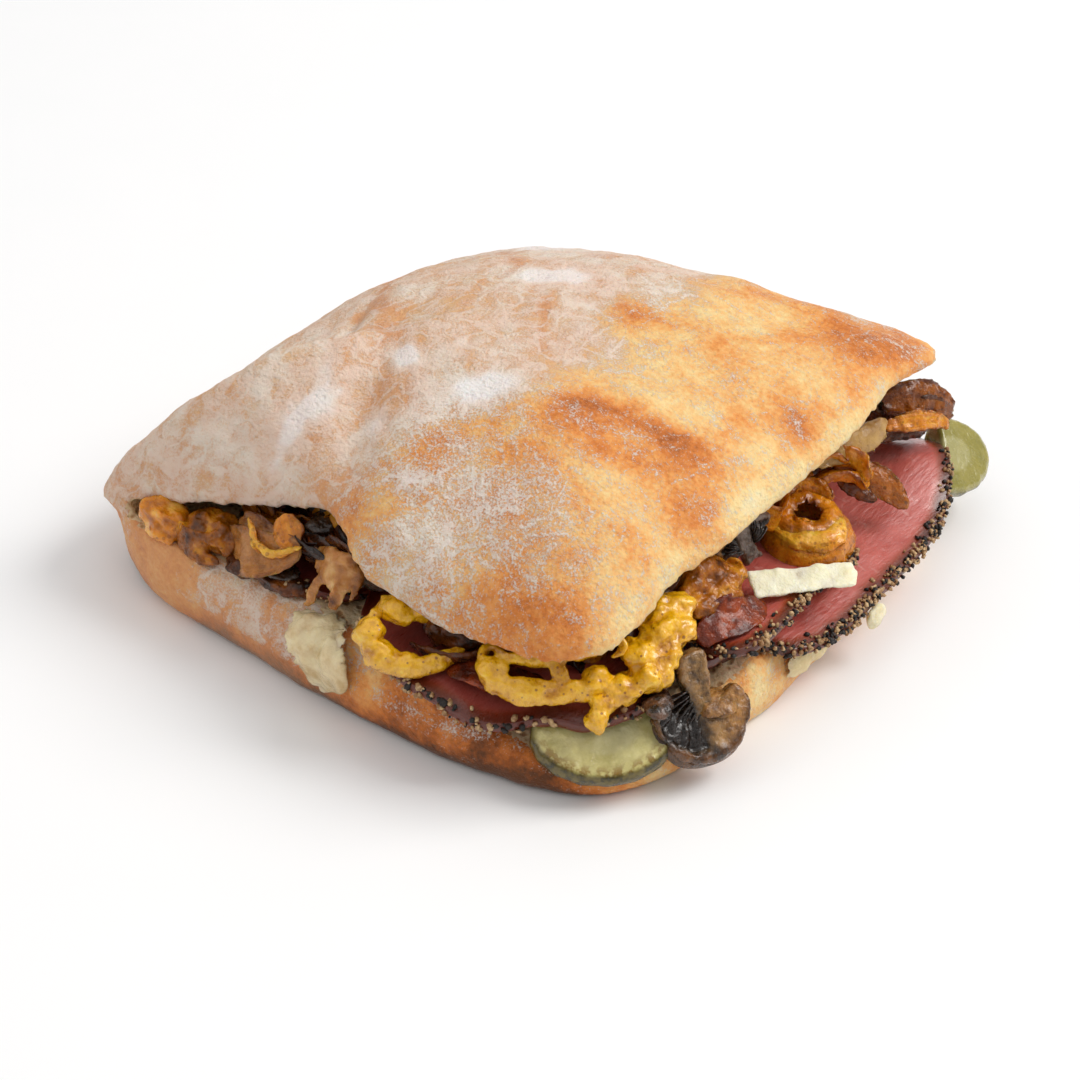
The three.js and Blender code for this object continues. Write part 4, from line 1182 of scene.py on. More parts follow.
    def build(self) -> bpy.types.Object:
        """Builds and dresses the roll.

        Returns:
            The object.
        """
        shell, kinds = self.shell()
        form = remesh(shell, self.voxel, 1)
        quads = shell.faces[:, 3] >= 0
        kinds = np.concatenate([kinds, kinds[quads]])
        tree = BVHTree.FromPolygons(shell.points.tolist(), shell.corners().tolist())
        near = np.array([tree.find_nearest(Vector(p))[2] for p in form.points])
        kind = kinds[near]
        x, y, z = form.points.T
        rough = Noise(11)
        crumb = form.spread((kind % 2).astype(float), 2)
        lid = form.spread((kind < 2).astype(float), 3)
        stray = [rough.layers(form.points + 50 * k, 17, 3) for k in (1, 2)]
        u, v = x + 4.5 * stray[0], y + 4.5 * stray[1]
        rows = np.array(self.golden, float)
        side = smooth(u + 7 * stray[1] - np.interp(y, rows[:, 0], rows[:, 1]), -11, 9)
        front = smooth(y, -32, -46)
        turned = form.points @ np.array([[0.44, 0.9, 0], [-0.9, 0.44, 0], [0, 0, 1.0]])
        streak = rough.layers(turned / [5.0, 1, 1], 4.0, 3) + 0.7 * rough.layers(turned / [6.0, 1, 1] + 30, 1.7, 2)
        blotch = rough.layers(form.points + 90, 11, 3)
        _, reached, edge = self.lid.place(x, y)
        lip = front * smooth(0.79 * x + 0.62 * y, 18, 2)
        pale = smooth(reached / edge + 0.02 * stray[0], 0.93, 0.99) * side * (1 - 1.2 * lip)
        heat = blend(0.34, 0.4, side) + swells_at(self.browning, u, v)
        heat += blend(0.13 * streak, 0.12 * blotch, side) - 0.13 * pale
        flour = blend(0.68, blend(0.06, 0.16, front), side) + swells_at(self.flouring, u, v)
        flour -= 0.2 * (1 - side) * np.maximum(streak, -0.4)
        degrees, distance, rim = self.base.place(x, y)
        streaks = rough.layers(form.points / [1, 1, 3.0], 4, 4)
        powdered = smooth(x, -50, -40) * smooth(x, 4, -4) * smooth(y, -20, -40) * smooth(z, 6, 9)
        right = smooth(x, 62, 72)
        back = smooth(y, 20, 50)
        near = (1 - right) * (1 - back)
        # Painted shade: low on the base's near side, which faces away from the window lamp, the wall is made browner
        # and darker.
        wall_heat = 0.58 + 0.3 * near * smooth(z, 9, 2) + 0.26 * blotch + 0.14 * streaks - 0.18 * right
        wall_heat -= 0.1 * powdered + 0.06 * back - 0.3 * near * smooth(z, 4, 0) - 0.1 * near * smooth(x, 10, 30)
        wall_flour = 0.18 + 0.38 * powdered + 0.1 * back - 0.34 * streaks - 0.12 * right
        wall_flour -= 0.5 * near * smooth(z, 11, 3)
        smear = Swell(-50, -71, 10, 12, 0, 1.0).at(x, y) * (1 - lid)
        wall_heat = blend(wall_heat, 0.5, smear)
        wall_flour -= 0.6 * smear
        heat, flour = blend(wall_heat, heat, lid), blend(wall_flour, flour, lid)
        sole = smooth(z, 0.9, 0.2) * smooth(distance / rim, 0.95, 0.85)
        heat = blend(heat, 0.5, sole)
        crust = 1 - crumb
        lift = crust * 0.8 * rough.layers(form.points, 28, 3)
        ridges = 1 - np.abs(rough.layers(turned / [3.2, 1, 1], 4.2, 3))
        lift += crust * 0.55 * smooth(flour, 0.2, 0.8) * (ridges - 0.7)
        first, second = rough.cells(form.points, 15)
        lift += crust * 0.55 * smooth(first, 0.6, 0.1)
        lift += crust * 0.14 * rough.layers(form.points, 3.2, 2)
        lift += lid * (0.9 * Swell(-29, -20, 16, 5, -66, 1.0).at(x, y) - 1.2 * Swell(-35, -23, 15, 1.8, -66, 1.0).at(x, y))
        brim = smooth(reached / edge, 0.94, 1.0) * lid + smooth(z, 9, 14) * (1 - lid)
        lift += brim * 0.4 * rough.layers(form.points, 2.4, 2)
        first, second = rough.cells(form.points + 1.6 * rough.at(form.points, 5)[:, None], 5.0)
        lift -= crumb * 1.1 * smooth(first, 0.5, 0.12)
        lift += crumb * 0.5 * rough.layers(form.points, 7, 3)
        form.push(lift)
        form.points[:, 2] = np.maximum(form.points[:, 2], 0.0)
        still = (1 - side) * np.maximum(smooth(y, -44, -22), smooth(x, 12, -8))
        matte = blend(0.7 * smooth(x, 20, -20), still, lid)
        form.marks = {"baked": heat, "flour": flour, "matte": matte}
        cut = crumb[form.faces].mean(axis=1) > 0.5
        finishes = [Crust("baked_crust"), Crumb("torn_crumb")]
        return Piece.put("roll", form, finishes, "ciabatta_roll", ["ciabatta_roll"], cut)


# ---- Ways to shape food --------------------------------------------------------------------------


def curve(stops: Sequence[Triple], count: int, loop: bool = False) -> Array:
    """Evenly spaced points on a smooth curve through stops.

    Args:
        stops: Where the curve passes.
        count: How many points.
        loop: Whether it closes on itself.

    Returns:
        The points.
    """
    p = np.array(stops, float)
    if loop:
        p = np.concatenate([p[-1:], p, p[:2]])
    else:
        p = np.concatenate([2 * p[:1] - p[1:2], p, 2 * p[-1:] - p[-2:-1]])
    f = np.linspace(0, 1, 25)[:-1, None]
    parts = []
    for a, b, c, d in zip(p, p[1:], p[2:], p[3:]):
        parts.append(
            0.5 * (2 * b + (c - a) * f + (2 * a - 5 * b + 4 * c - d) * f**2 + (3 * b - a - 3 * c + d) * f**3)
        )
    line = np.concatenate([*parts, p[-2][None]])
    length = np.concatenate([[0], np.cumsum(np.linalg.norm(np.diff(line, axis=0), axis=1))])
    wanted = np.linspace(0, length[-1], count + 1)[:-1] if loop else np.linspace(0, length[-1], count)
    return np.stack([np.interp(wanted, length, line[:, k]) for k in range(3)], axis=1)


@dataclass(frozen=True)
class Strip:
    """A strip of fried onion or a bead of sauce: an oval section swept along a route.

    Its side is the part of across square to the route, turned about the route by lean and, along
    it, by twist. cup bends its two edges towards its face, and ruffle waves them.
    """

    route: tuple[Triple, ...]
    wide: float
    thick: float
    across: Triple = (0, 0, 1)
    lean: float = 0.0
    twist: float = 0.0
    cup: float = 0.0
    ruffle: float = 0.0
    ends: float = 0.3
    loop: bool = False
    seed: int = 0
    stations: int = 56
    sides: int = 20
    fried: float = 0.0

    def form(self) -> Form:
        """The strip as a closed form with the marks along, across, strand and fried.

        Returns:
            The form.
        """
        n, m = self.stations, self.sides
        line = curve(self.route, n, self.loop)
        if self.loop:
            way = unit(np.roll(line, -1, axis=0) - np.roll(line, 1, axis=0))
        else:
            way = unit(np.gradient(line, axis=0))
        f = np.arange(n) / (n if self.loop else n - 1)
        side = np.array(self.across, float) - way * (way @ np.array(self.across, float))[:, None]
        side = unit(side)
        face = np.cross(way, side)
        turn = np.radians(self.lean + self.twist * f)[:, None]
        side, face = side * np.cos(turn) + face * np.sin(turn), face * np.cos(turn) - side * np.sin(turn)
        share = np.ones(n)
        if not self.loop:
            share = self.ends + (1 - self.ends) * np.sin(np.pi * f) ** 0.6
            tip = np.minimum(f, 1 - f) * n
            share *= np.sqrt(np.clip((tip + 0.35) / 3, 0, 1))
        noise = Noise(self.seed + 101)
        wander = noise.layers(line, self.wide * 1.4, 2)
        half = (self.wide / 2 * share * (1 + 0.16 * wander))[:, None]
        thin = (self.thick / 2 * np.sqrt(share))[:, None]
        a = 2 * np.pi * np.arange(m) / m
        u, w = np.cos(a)[None], np.sin(a)[None]
        stretch = np.sign(u) * np.abs(u) ** 0.75
        wave = noise.at(np.repeat(line, m, axis=0) + 9 * np.tile(np.stack([u[0], w[0] * 0, u[0] * 0], 1), (n, 1)), 2.6)
        wave = wave.reshape(n, m) * self.ruffle * u**2
        rise = thin * w * (1 - 0.3 * u**2) + self.cup * half * u**2 + wave
        points = line[:, None] + side[:, None] * (half * stretch)[..., None]
        points = points + face[:, None] * rise[..., None]
        grid = np.arange(n * m).reshape(n, m)
        after = np.roll(grid, -1, axis=0) if self.loop else grid[1:]
        here = grid if self.loop else grid[:-1]
        quads = np.stack([here, np.roll(here, -1, axis=1), np.roll(after, -1, axis=1), after], axis=-1)
        points, faces = points.reshape(-1, 3), quads.reshape(-1, 4)
        length = np.linalg.norm(np.diff(line, axis=0), axis=1).sum()
        along = np.repeat(f * length, m)
        over = np.tile(u[0], n)
        if not self.loop:
            points = np.concatenate([points, line[:1], line[-1:]])
            first, last = n * m, n * m + 1
            ring, blank = np.arange(m), np.full(m, -1)
            faces = np.concatenate(
                [
                    faces, np.stack([np.full(m, first), np.roll(ring, -1), ring, blank], axis=1),
                    np.stack([np.full(m, last), grid[-1], np.roll(grid[-1], -1), blank], axis=1),
                ]
            )
            along = np.concatenate([along, [0, length]])
            over = np.concatenate([over, [0, 0]])
        number, fried = (np.full(len(points), float(value)) for value in (self.seed, self.fried))
        return Form(points, faces, {"along": along, "across": over, "strand": number, "fried": fried})


def lump(
    centre: Triple, radii: Triple, turn: float = 0.0, seed: int = 0, rough: float = 0.14, fried: float = 0.0
) -> Form:
    """A ball stretched to three radii, turned about the upright, with soft lumps.

    Args:
        centre: Its middle.
        radii: Half its length, width and height before the turn.
        turn: Degrees about the upright.
        seed: Which lumps.
        rough: Height of the lumps as a share of its size.
        fried: Its mark fried.

    Returns:
        The form.
    """
    rows, sides = 22, 30
    up = np.pi * (np.arange(rows) + 1) / (rows + 1)
    a = 2 * np.pi * np.arange(sides) / sides
    ball = np.stack(
        [
            np.outer(np.sin(up), np.cos(a)).ravel(), np.outer(np.sin(up), np.sin(a)).ravel(),
            np.repeat(np.cos(up), sides),
        ],
        axis=1,
    )
    ball = np.concatenate([ball, [[0, 0, 1], [0, 0, -1]]])
    ball = ball * (1 + rough * Noise(seed + 31).layers(ball + seed, 0.9, 2))[:, None]
    c, s = math.cos(math.radians(turn)), math.sin(math.radians(turn))
    points = (ball * radii) @ np.array([[c, s, 0], [-s, c, 0], [0, 0, 1]]) + centre
    grid = np.arange(rows * sides).reshape(rows, sides)
    here, after = grid[:-1], grid[1:]
    quads = np.stack([here, after, np.roll(after, -1, axis=1), np.roll(here, -1, axis=1)], axis=-1)
    ring, blank = np.arange(sides), np.full(sides, -1)
    top = np.stack([np.full(sides, rows * sides), ring, np.roll(ring, -1), blank], axis=1)
    low = np.stack([np.full(sides, rows * sides + 1), np.roll(grid[-1], -1), grid[-1], blank], axis=1)
    form = Form(points, np.concatenate([quads.reshape(-1, 4), top, low]))
    form.marks = {"along": 2 * points[:, 0], "fried": np.full(len(points), float(fried))}
    return form


def bumpy(form: Form, steps: Sequence[tuple[float, float]], seed: int) -> Form:
    """Roughens a form.

    Args:
        form: The form, changed.
        steps: Widths of bumps and their heights.
        seed: Which bumps.

    Returns:
        The form.
    """
    noise = Noise(seed)
    for size, height in steps:
        form.push(height * noise.layers(form.points, size, 2))
    return form


# ---- The beef ------------------------------------------------------------------------------------


@dataclass
class BeefSlice:
    """A thin slice of peppered roast beef laid on the bread at its own level of the stack."""

    name: str
    level: int
    outline: Outline
    swells: tuple[Swell, ...]
    seed: int
    # How much painted shade darkens the slice: a darker red-brown where it lies in shade.
    juice: float = 0.0
    thick: float = 1.8
    gap: float = 0.6
    step: float = 2.4
    spokes: int = 260
    rings: int = 30

    def under(self, bread: CiabattaRoll, x: Array, y: Array) -> Array:
        """Height of the slice's underside over plan points."""
        return bread.bed(x, y) + self.gap + self.level * self.step + swells_at(self.swells, x, y)

    def cover(self, bread: CiabattaRoll, form: Form) -> None:
        """Presses whatever of a form lies above the slice down to just under it."""
        x, y, z = form.points.T
        _, distance, rim = self.outline.place(x, y)
        inside = smooth(distance, rim + 0.6, rim - 1.6)
        form.points[:, 2] = z - inside * np.maximum(z - self.under(bread, x, y) + 0.3, 0)

    def sheet(self, bread: CiabattaRoll, degrees: Array, share: Array) -> tuple[Array, Array, Array]:
        """Where the slice lies, without its thickness.

        Args:
            bread: The roll that it lies on.
            degrees: Compass angles about its middle.
            share: Distances from its middle as shares of its rim's.

        Returns:
            The three coordinates of its underside.
        """
        noise = Noise(self.seed)
        turn = np.radians(degrees)
        circle = np.stack([np.cos(turn), np.sin(turn), 0 * turn], axis=-1).reshape(-1, 3)
        ragged = noise.layers(circle * 42 + 5, 9, 3).reshape(np.shape(turn))
        far = (self.outline.reach(degrees) + 0.9 * ragged) * share
        x = self.outline.x + far * np.cos(turn)
        y = self.outline.y + far * np.sin(turn)
        flat = np.stack([x, y, 0 * x], axis=-1).reshape(-1, 3)
        soft = noise.layers(flat + 40, 15, 2).reshape(np.shape(turn))
        z = self.under(bread, x, y) + 0.5 * soft * smooth(share, 0.6, 1.0)
        return x, y, z

    def form(self, bread: CiabattaRoll) -> Form:
        """The slice as a closed form with the mark rim, 1 at its browned edge.

        Args:
            bread: The roll that it lies on.

        Returns:
            The form.
        """
        n = self.spokes
        degrees = -180 + 360 * np.arange(n) / n
        steps = 1 - (1 - np.linspace(0.04, 1, self.rings)) ** 1.5
        plan = [(t, 1.0) for t in steps[:-1]]
        plan += [(1 - 0.012 * (1 - math.sin(a)), 0.5 + 0.5 * math.cos(a)) for a in (0.5, 1.2, 1.9, 2.6)]
        plan += [(t, 0.0) for t in steps[:-1][::-1]]
        points, marks = [], []
        for t, high in plan:
            x, y, z = self.sheet(bread, degrees, np.full(n, t))
            points.append(np.stack([x, y, z + high * self.thick], axis=1))
            gone = (1 - t) * self.outline.reach(degrees)
            marks.append(1 - smooth(gone, 1.0, 6.5))
        grid = np.arange(n * len(plan)).reshape(len(plan), n)
        here, after = grid[:-1], grid[1:]
        quads = np.stack([here, after, np.roll(after, -1, axis=1), np.roll(here, -1, axis=1)], axis=-1)
        cloud = np.concatenate(points)
        cloud = np.concatenate([cloud, [points[0].mean(axis=0), points[-1].mean(axis=0)]])
        ring, blank = np.arange(n), np.full(n, -1)
        top = np.stack([np.full(n, len(cloud) - 2), ring, np.roll(ring, -1), blank], axis=1)
        low = np.stack([np.full(n, len(cloud) - 1), np.roll(grid[-1], -1), grid[-1], blank], axis=1)
        rim = np.concatenate([*marks, [0, 0]])
        form = Form(cloud, np.concatenate([quads.reshape(-1, 4), top, low]), {"rim": rim})
        return bumpy(form, ((6.0, 0.16), (1.8, 0.1)), self.seed + 7)


@dataclass
class Beef:
    """The stack of beef slices and the cracked pepper on their rims."""

    bread: CiabattaRoll
    slices: tuple[BeefSlice, ...] = (
        BeefSlice(
            "beef_slice_lower",
            0,
            Outline(
                42, 12, 43, 62, 3.4,
                (
                    (-180, -4), (-90, 0), (-62, -8), (-45, -10), (-30, -1), (-15, 1), (0, 0), (25, -1),
                    (42, -1.7), (55, -1.3), (63, -0.6), (72, 1.5), (82, 2), (120, 0),
                ),
            ),
            (Swell(70, 66, 18, 15, 45, 7.5),),
            201,
        ),
        BeefSlice(
            "beef_slice_left",
            0,
            Outline(
                -24, -4, 26, 66, 2.8,
                (
                    (-180, 0), (-110, -4), (-80, 1), (-70, 7), (-62, 6), (-54, -4), (-30, -4), (0, -4),
                    (60, -4), (100, 0), (130, -6),
                ),
            ),
            (),
            202, 0.75,
        ),
        BeefSlice(
            "beef_slice_front",
            1,
            Outline(
                36, -34, 43, 43.5, 2.2,
                (
                    (-180, -6), (-140, -1), (-120, 2), (-95, 0), (-75, -1), (-60, -6), (-45, -5), (-30, -4),
                    (-12, -7), (10, -4), (60, -4), (120, -6),
                ),
            ),
            (Swell(64, -57, 26, 19, 45, 6),),
            203, 0.5,
        ),
        BeefSlice(
            "beef_slice_upper",
            2,
            Outline(
                34, -6, 47, 36, 3,
                (
                    (-180, -6), (-90, -2), (-50, -10), (-30, 3), (-20, 3), (0, -1), (14, -1), (28, 2), (50, -2),
                    (120, -4),
                ),
            ),
            (Swell(84, -14, 28, 9, 85, 4.5), Swell(78, -40, 14, 12, 45, 2.5)),
            204,
        ),
    )
    # Stretches of rim with pepper: slice, first and last compass angle, and pieces to a degree.
    peppered: tuple[tuple[int, float, float, float], ...] = (
        (0, -50, 62, 7.0), (0, 62, 100, 1.6), (0, -75, -50, 1.2), (1, -120, -60, 2.2), (1, 60, 120, 1.2),
        (2, -128, -98, 2.8), (2, -98, -55, 1.8), (2, -40, 0, 1.5), (3, -48, 30, 5.6), (3, 30, 60, 1.5),
    )

    def chip(self, rng: np.random.Generator, place: Array, size: float) -> Form:
        """One piece of cracked pepper: a lump with flat broken sides.

        Args:
            rng: Where its shape comes from.
            place: Its middle.
            size: Half its length.

        Returns:
            The form.
        """
        golden = (1 + 5**0.5) / 2
        corners = unit(
            np.array(
                [(s * a, t * b, 0) for a, b in ((1, golden),) for s in (-1, 1) for t in (-1, 1)]
                + [(0, s, t * golden) for s in (-1, 1) for t in (-1, 1)]
                + [(s * golden, 0, t) for s in (-1, 1) for t in (-1, 1)]
            )
        )
        faces = []
        for i in range(12):
            for j in range(i + 1, 12):
                for k in range(j + 1, 12):
                    trio = corners[[i, j, k]]
                    if max(np.linalg.norm(trio[a] - trio[a - 1]) for a in range(3)) < 1.2:
                        out = np.dot(np.cross(trio[1] - trio[0], trio[2] - trio[0]), trio[0]) > 0
                        faces.append((i, j, k, -1) if out else (i, k, j, -1))
        shape = corners * rng.uniform(0.7, 1.15, (12, 1)) * rng.uniform(0.55, 1.0, 3)
        flat = unit(rng.normal(size=3))
        shape -= np.maximum(shape @ flat - rng.uniform(0.1, 0.5), 0)[:, None] * flat
        turn, _ = np.linalg.qr(rng.normal(size=(3, 3)))
        if np.linalg.det(turn) < 0:
            turn = -turn
        return Form(shape @ turn * size + place, np.array(faces))

    def pepper(self) -> tuple[list[Form], list[Form]]:
        """Black and tan pepper over the rims.

        Returns:
            The black pieces and the tan ones.
        """
        rng = np.random.default_rng(77)
        black: list[Form] = []
        tan: list[Form] = []
        clump = Noise(78)
        for index, first, last, density in self.peppered:
            beef = self.slices[index]
            count = int(abs(last - first) * density)
            degrees = rng.uniform(first, last, count)
            spot = np.stack([degrees, 0 * degrees, 0 * degrees + 10 * index], axis=1)
            thick = clump.layers(spot, 7, 2)
            degrees = degrees[rng.random(count) < 0.62 + 0.5 * thick]
            reach = beef.outline.reach(degrees)
            inset = np.abs(rng.normal(0.4, 0.9 if index == 2 else 1.5, len(degrees))) - 0.8
            share = 1 - np.maximum(inset, 0) / reach
            x, y, z = beef.sheet(self.bread, degrees, share)
            over = inset < 0
            turn = np.radians(degrees)
            x = x + np.where(over, 0.25, 0) * np.cos(turn)
            y = y + np.where(over, 0.25, 0) * np.sin(turn)
            high = np.where(over, rng.uniform(0.0, 1.1, len(degrees)) * beef.thick, beef.thick + 0.25)
            size = rng.uniform(0.45, 1.05, len(degrees)) * (1.2 if index == 2 else 1)
            hue = rng.random(len(degrees))
            for k in range(len(degrees)):
                made = self.chip(rng, np.array([x[k], y[k], z[k] + high[k]]), size[k])
                (tan if hue[k] < 0.6 else black).append(made)
        return black, tan

    def build(self) -> None:
        """Builds and dresses the beef and its pepper."""
        for beef in self.slices:
            form = beef.form(self.bread)
            finish = Meat(beef.name.replace("slice", "flesh"), beef.juice)
            Piece.put(beef.name + "_meat", form, [finish], beef.name, [beef.name])
        black, tan = self.pepper()
        Piece.put("pepper_black", Form.join(black), [Husk("black_pepper", "2A211C", "0E0B0A")], "beef_slice_lower")
        Piece.put("pepper_tan", Form.join(tan), [Husk("tan_pepper", "D9B98A", "8C5F34")], "beef_slice_lower")


@dataclass(frozen=True)
class Meat(Finish):
    """Pink roast beef: fine grain, faint fat, a red-brown roasted rim, and as much painted shade as said: a darker
    red-brown for slices that lie in shade.
    """

    juice: float = 0.0

    def dress(self, tree: Tree, shader: bpy.types.Node) -> None:
        """Lays out the meat."""
        grain = tree.noise(tree.places((1.0, 0.25, 1.0)), 1.1, 4.0, 0.6)
        shade = self.effect(tree, Effects.mottle(), Size=11.0, Amount=0.55)
        pink = tree.ramp(
            tree.maths("ADD", tree.maths("MULTIPLY_ADD", grain, 0.35, 0.3), shade),
            [(0.0, "92382E"), (0.35, "B4544A"), (0.65, "C86A60"), (1.0, "DC9084")],
        )
        fat = tree.span(tree.noise(tree.places((0.5, 1.4, 1.0)), 4.0, 4.0), 0.62, 0.74, (0.0, 0.35))
        pink = tree.mix(fat, pink, "DFAFA6")
        roast = tree.maths("ADD", tree.mark("rim"), tree.maths("MULTIPLY", shade, 0.5))
        edge = tree.ramp(tree.span(roast, 0.25, 1.1, (0.0, 1.0)), [(0.0, "B2503A"), (0.5, "8E381C"), (1.0, "55200C")])
        tone = tree.mix(tree.span(roast, 0.16, 0.7, (0.0, 1.0)), pink, edge)
        # Painted shade: the slice's colour is darkened towards a deep red-brown by the share given for it.
        soaked = tree.span(shade, -0.5, 0.3, (0.6 * self.juice, self.juice))
        tree.join(tree.mix(soaked, tone, "6E2412"), shader.inputs["Base Color"])
        tree.join(tree.span(grain, 0.2, 0.8, (0.24, 0.44)), shader.inputs["Roughness"])
        self.flesh(shader, 0.22, (3.0, 0.9, 0.7), 0.35)
        self.bump(tree, shader, grain, 0.35)


@dataclass(frozen=True)
class Husk(Finish):
    """Cracked pepper: a light broken face and a dark husk."""

    light: str
    dark: str

    def dress(self, tree: Tree, shader: bpy.types.Node) -> None:
        """Lays out the pepper."""
        shade = tree.noise(tree.places(), 0.7, 3.0)
        broad = tree.noise(tree.places(), 2.6, 2.0)
        mixed = tree.maths("MULTIPLY_ADD", broad, 0.9, tree.maths("MULTIPLY_ADD", shade, 0.7, -0.35))
        tree.join(tree.mix(tree.span(mixed, 0.25, 0.7, (0.0, 1.0)), self.dark, self.light), shader.inputs["Base Color"])
        shader.inputs["Roughness"].default_value = 0.55
        self.bump(tree, shader, shade, 0.2)


# ---- The onions ----------------------------------------------------------------------------------


class Fry(Enum):
    """How far an onion piece is fried: pale, middle and dark colours, and how much light it lets in."""

    GOLDEN = ("F6B838", "D07E10", "6E2E04", 0.35)
    AMBER = ("E29C2A", "A45C08", "401A02", 0.3)
    BROWN = ("A8601C", "64300C", "1E0C04", 0.3)
    GLOSSY = ("A84A1C", "6E260A", "280A04", 0.4)
    TAN = ("E2B070", "BA7A3A", "5E3010", 0.45)
    ORANGE = ("FAC050", "E08A14", "843A04", 0.35)


@dataclass(frozen=True)
class FriedOnion(Finish):
    """Fried onion: fibres along the strip, browned edges and an oily film."""

    fry: Fry

    def dress(self, tree: Tree, shader: bpy.types.Node) -> None:
        """Lays out the onion."""
        pale, middle, dark, weight = self.fry.value
        row = tree.add("ShaderNodeCombineXYZ")
        tree.join(tree.maths("MULTIPLY", tree.mark("along"), 0.16), row.inputs[0])
        tree.join(tree.maths("MULTIPLY", tree.mark("across"), 3.2), row.inputs[1])
        tree.join(tree.mark("strand"), row.inputs[2])
        fibre = tree.noise(row.outputs[0], 1.0, 3.0, 0.5)
        shade = self.effect(tree, Effects.mottle(), Size=4.0, Amount=0.42)
        speck = self.effect(tree, Effects.specks(), Spacing=1.7, Width=0.5)
        edge = tree.maths("POWER", tree.maths("ABSOLUTE", tree.mark("across")), 5.0)
        level = tree.maths("ADD", tree.maths("MULTIPLY_ADD", fibre, 0.5, 0.25), shade)
        level = tree.maths("MULTIPLY_ADD", edge, 0.3, level)
        level = tree.maths("MULTIPLY_ADD", tree.mark("fried"), 0.6, level)
        tone = tree.ramp(level, [(0.15, pale), (0.5, middle), (0.95, dark)])
        dry = self.fry is Fry.TAN
        tone = tree.mix(tree.maths("MULTIPLY", speck, 0.1 if dry else 0.45), tone, dark)
        tree.join(tone, shader.inputs["Base Color"])
        tree.join(tree.span(fibre, 0.3, 0.7, (0.14, 0.34)), shader.inputs["Roughness"])
        self.flesh(shader, weight, (2.2, 1.3, 0.4), 0.45 if self.fry in (Fry.GOLDEN, Fry.ORANGE) else 0.25)
        shader.inputs["Specular IOR Level"].default_value = 0.3
        fine = tree.noise(tree.places(), 1.5, 3.0)
        self.bump(tree, shader, tree.maths("MULTIPLY_ADD", fibre, 0.4, fine), 0.6)


@dataclass(frozen=True)
class Heaped:
    """Fried onion strips heaped over a soft oval core."""

    centre: Triple
    radii: Triple
    turn: float
    strands: int
    wide: float
    seed: int
    thick: float = 1.1
    fried: float = 0.0

    def form(self) -> Form:
        """The core and its strips.

        Returns:
            Closed forms that run into each other.
        """
        rng = np.random.default_rng(self.seed)
        inner = tuple(r * 0.8 for r in self.radii)
        made = [lump(self.centre, inner, self.turn, self.seed, 0.2, self.fried)]
        c, s = math.cos(math.radians(self.turn)), math.sin(math.radians(self.turn))
        turn = np.array([[c, s, 0], [-s, c, 0], [0, 0, 1.0]])
        for k in range(self.strands):
            pole = unit(rng.normal(size=3) * (1, 1, 0.8) + (0, 0, 0.45))
            way = unit(np.cross(pole, rng.normal(size=3)))
            span = rng.uniform(0.7, 1.25)
            stops = []
            for a in np.linspace(-span, span, 5):
                q = unit(pole * math.cos(a) + way * math.sin(a) + rng.normal(size=3) * 0.1)
                place = (q * self.radii * rng.uniform(0.78, 0.95)) @ turn + self.centre
                stops.append(tuple(place))
            out = tuple(np.cross(way, pole) @ turn)
            strip = Strip(tuple(stops), self.wide * rng.uniform(0.7, 1.2), self.thick, across=out)
            strip = replace(strip, cup=rng.uniform(-0.25, -0.05), ruffle=0.35, twist=rng.uniform(-25, 25))
            strip = replace(strip, seed=self.seed * 10 + k, stations=34, sides=14)
            made.append(replace(strip, fried=self.fried + rng.uniform(-0.16, 0.16)).form())
        return Form.join(made)


@dataclass(frozen=True)
class Lump:
    """A soft lump."""

    centre: Triple
    radii: Triple
    turn: float = 0.0
    seed: int = 0
    rough: float = 0.25
    fried: float = 0.0

    def form(self) -> Form:
        """The lump as a form."""
        return lump(self.centre, self.radii, self.turn, self.seed, self.rough, self.fried)


@dataclass(frozen=True)
class OnionPiece:
    """Fried onion of one finish: its parts, and whether they have melted together."""

    node: str
    fry: Fry
    parts: tuple[Strip | Heaped | Lump, ...]
    melted: bool = False
    trim: bool = False

    def form(self) -> Form:
        """The piece's form."""
        form = Form.join([part.form() for part in self.parts])
        if self.melted:
            fried = form.marks["fried"].mean()
            form = remesh(form, 0.45, 3)
            noise = Noise(self.parts[0].seed)
            form.marks = {
                "along": form.points @ np.array([1.5, 1.0, 1.0]),
                "across": 0.5 * noise.layers(form.points, 4, 2), "strand": np.zeros(len(form.points)),
                "fried": fried + 0.7 * noise.layers(form.points + 40, 4, 2),
            }
        calm = 0.4 if self.fry in (Fry.GLOSSY, Fry.TAN) else 1.0
        return bumpy(form, ((4.0, 0.6 * calm), (1.4, 0.28 * calm)), 40)


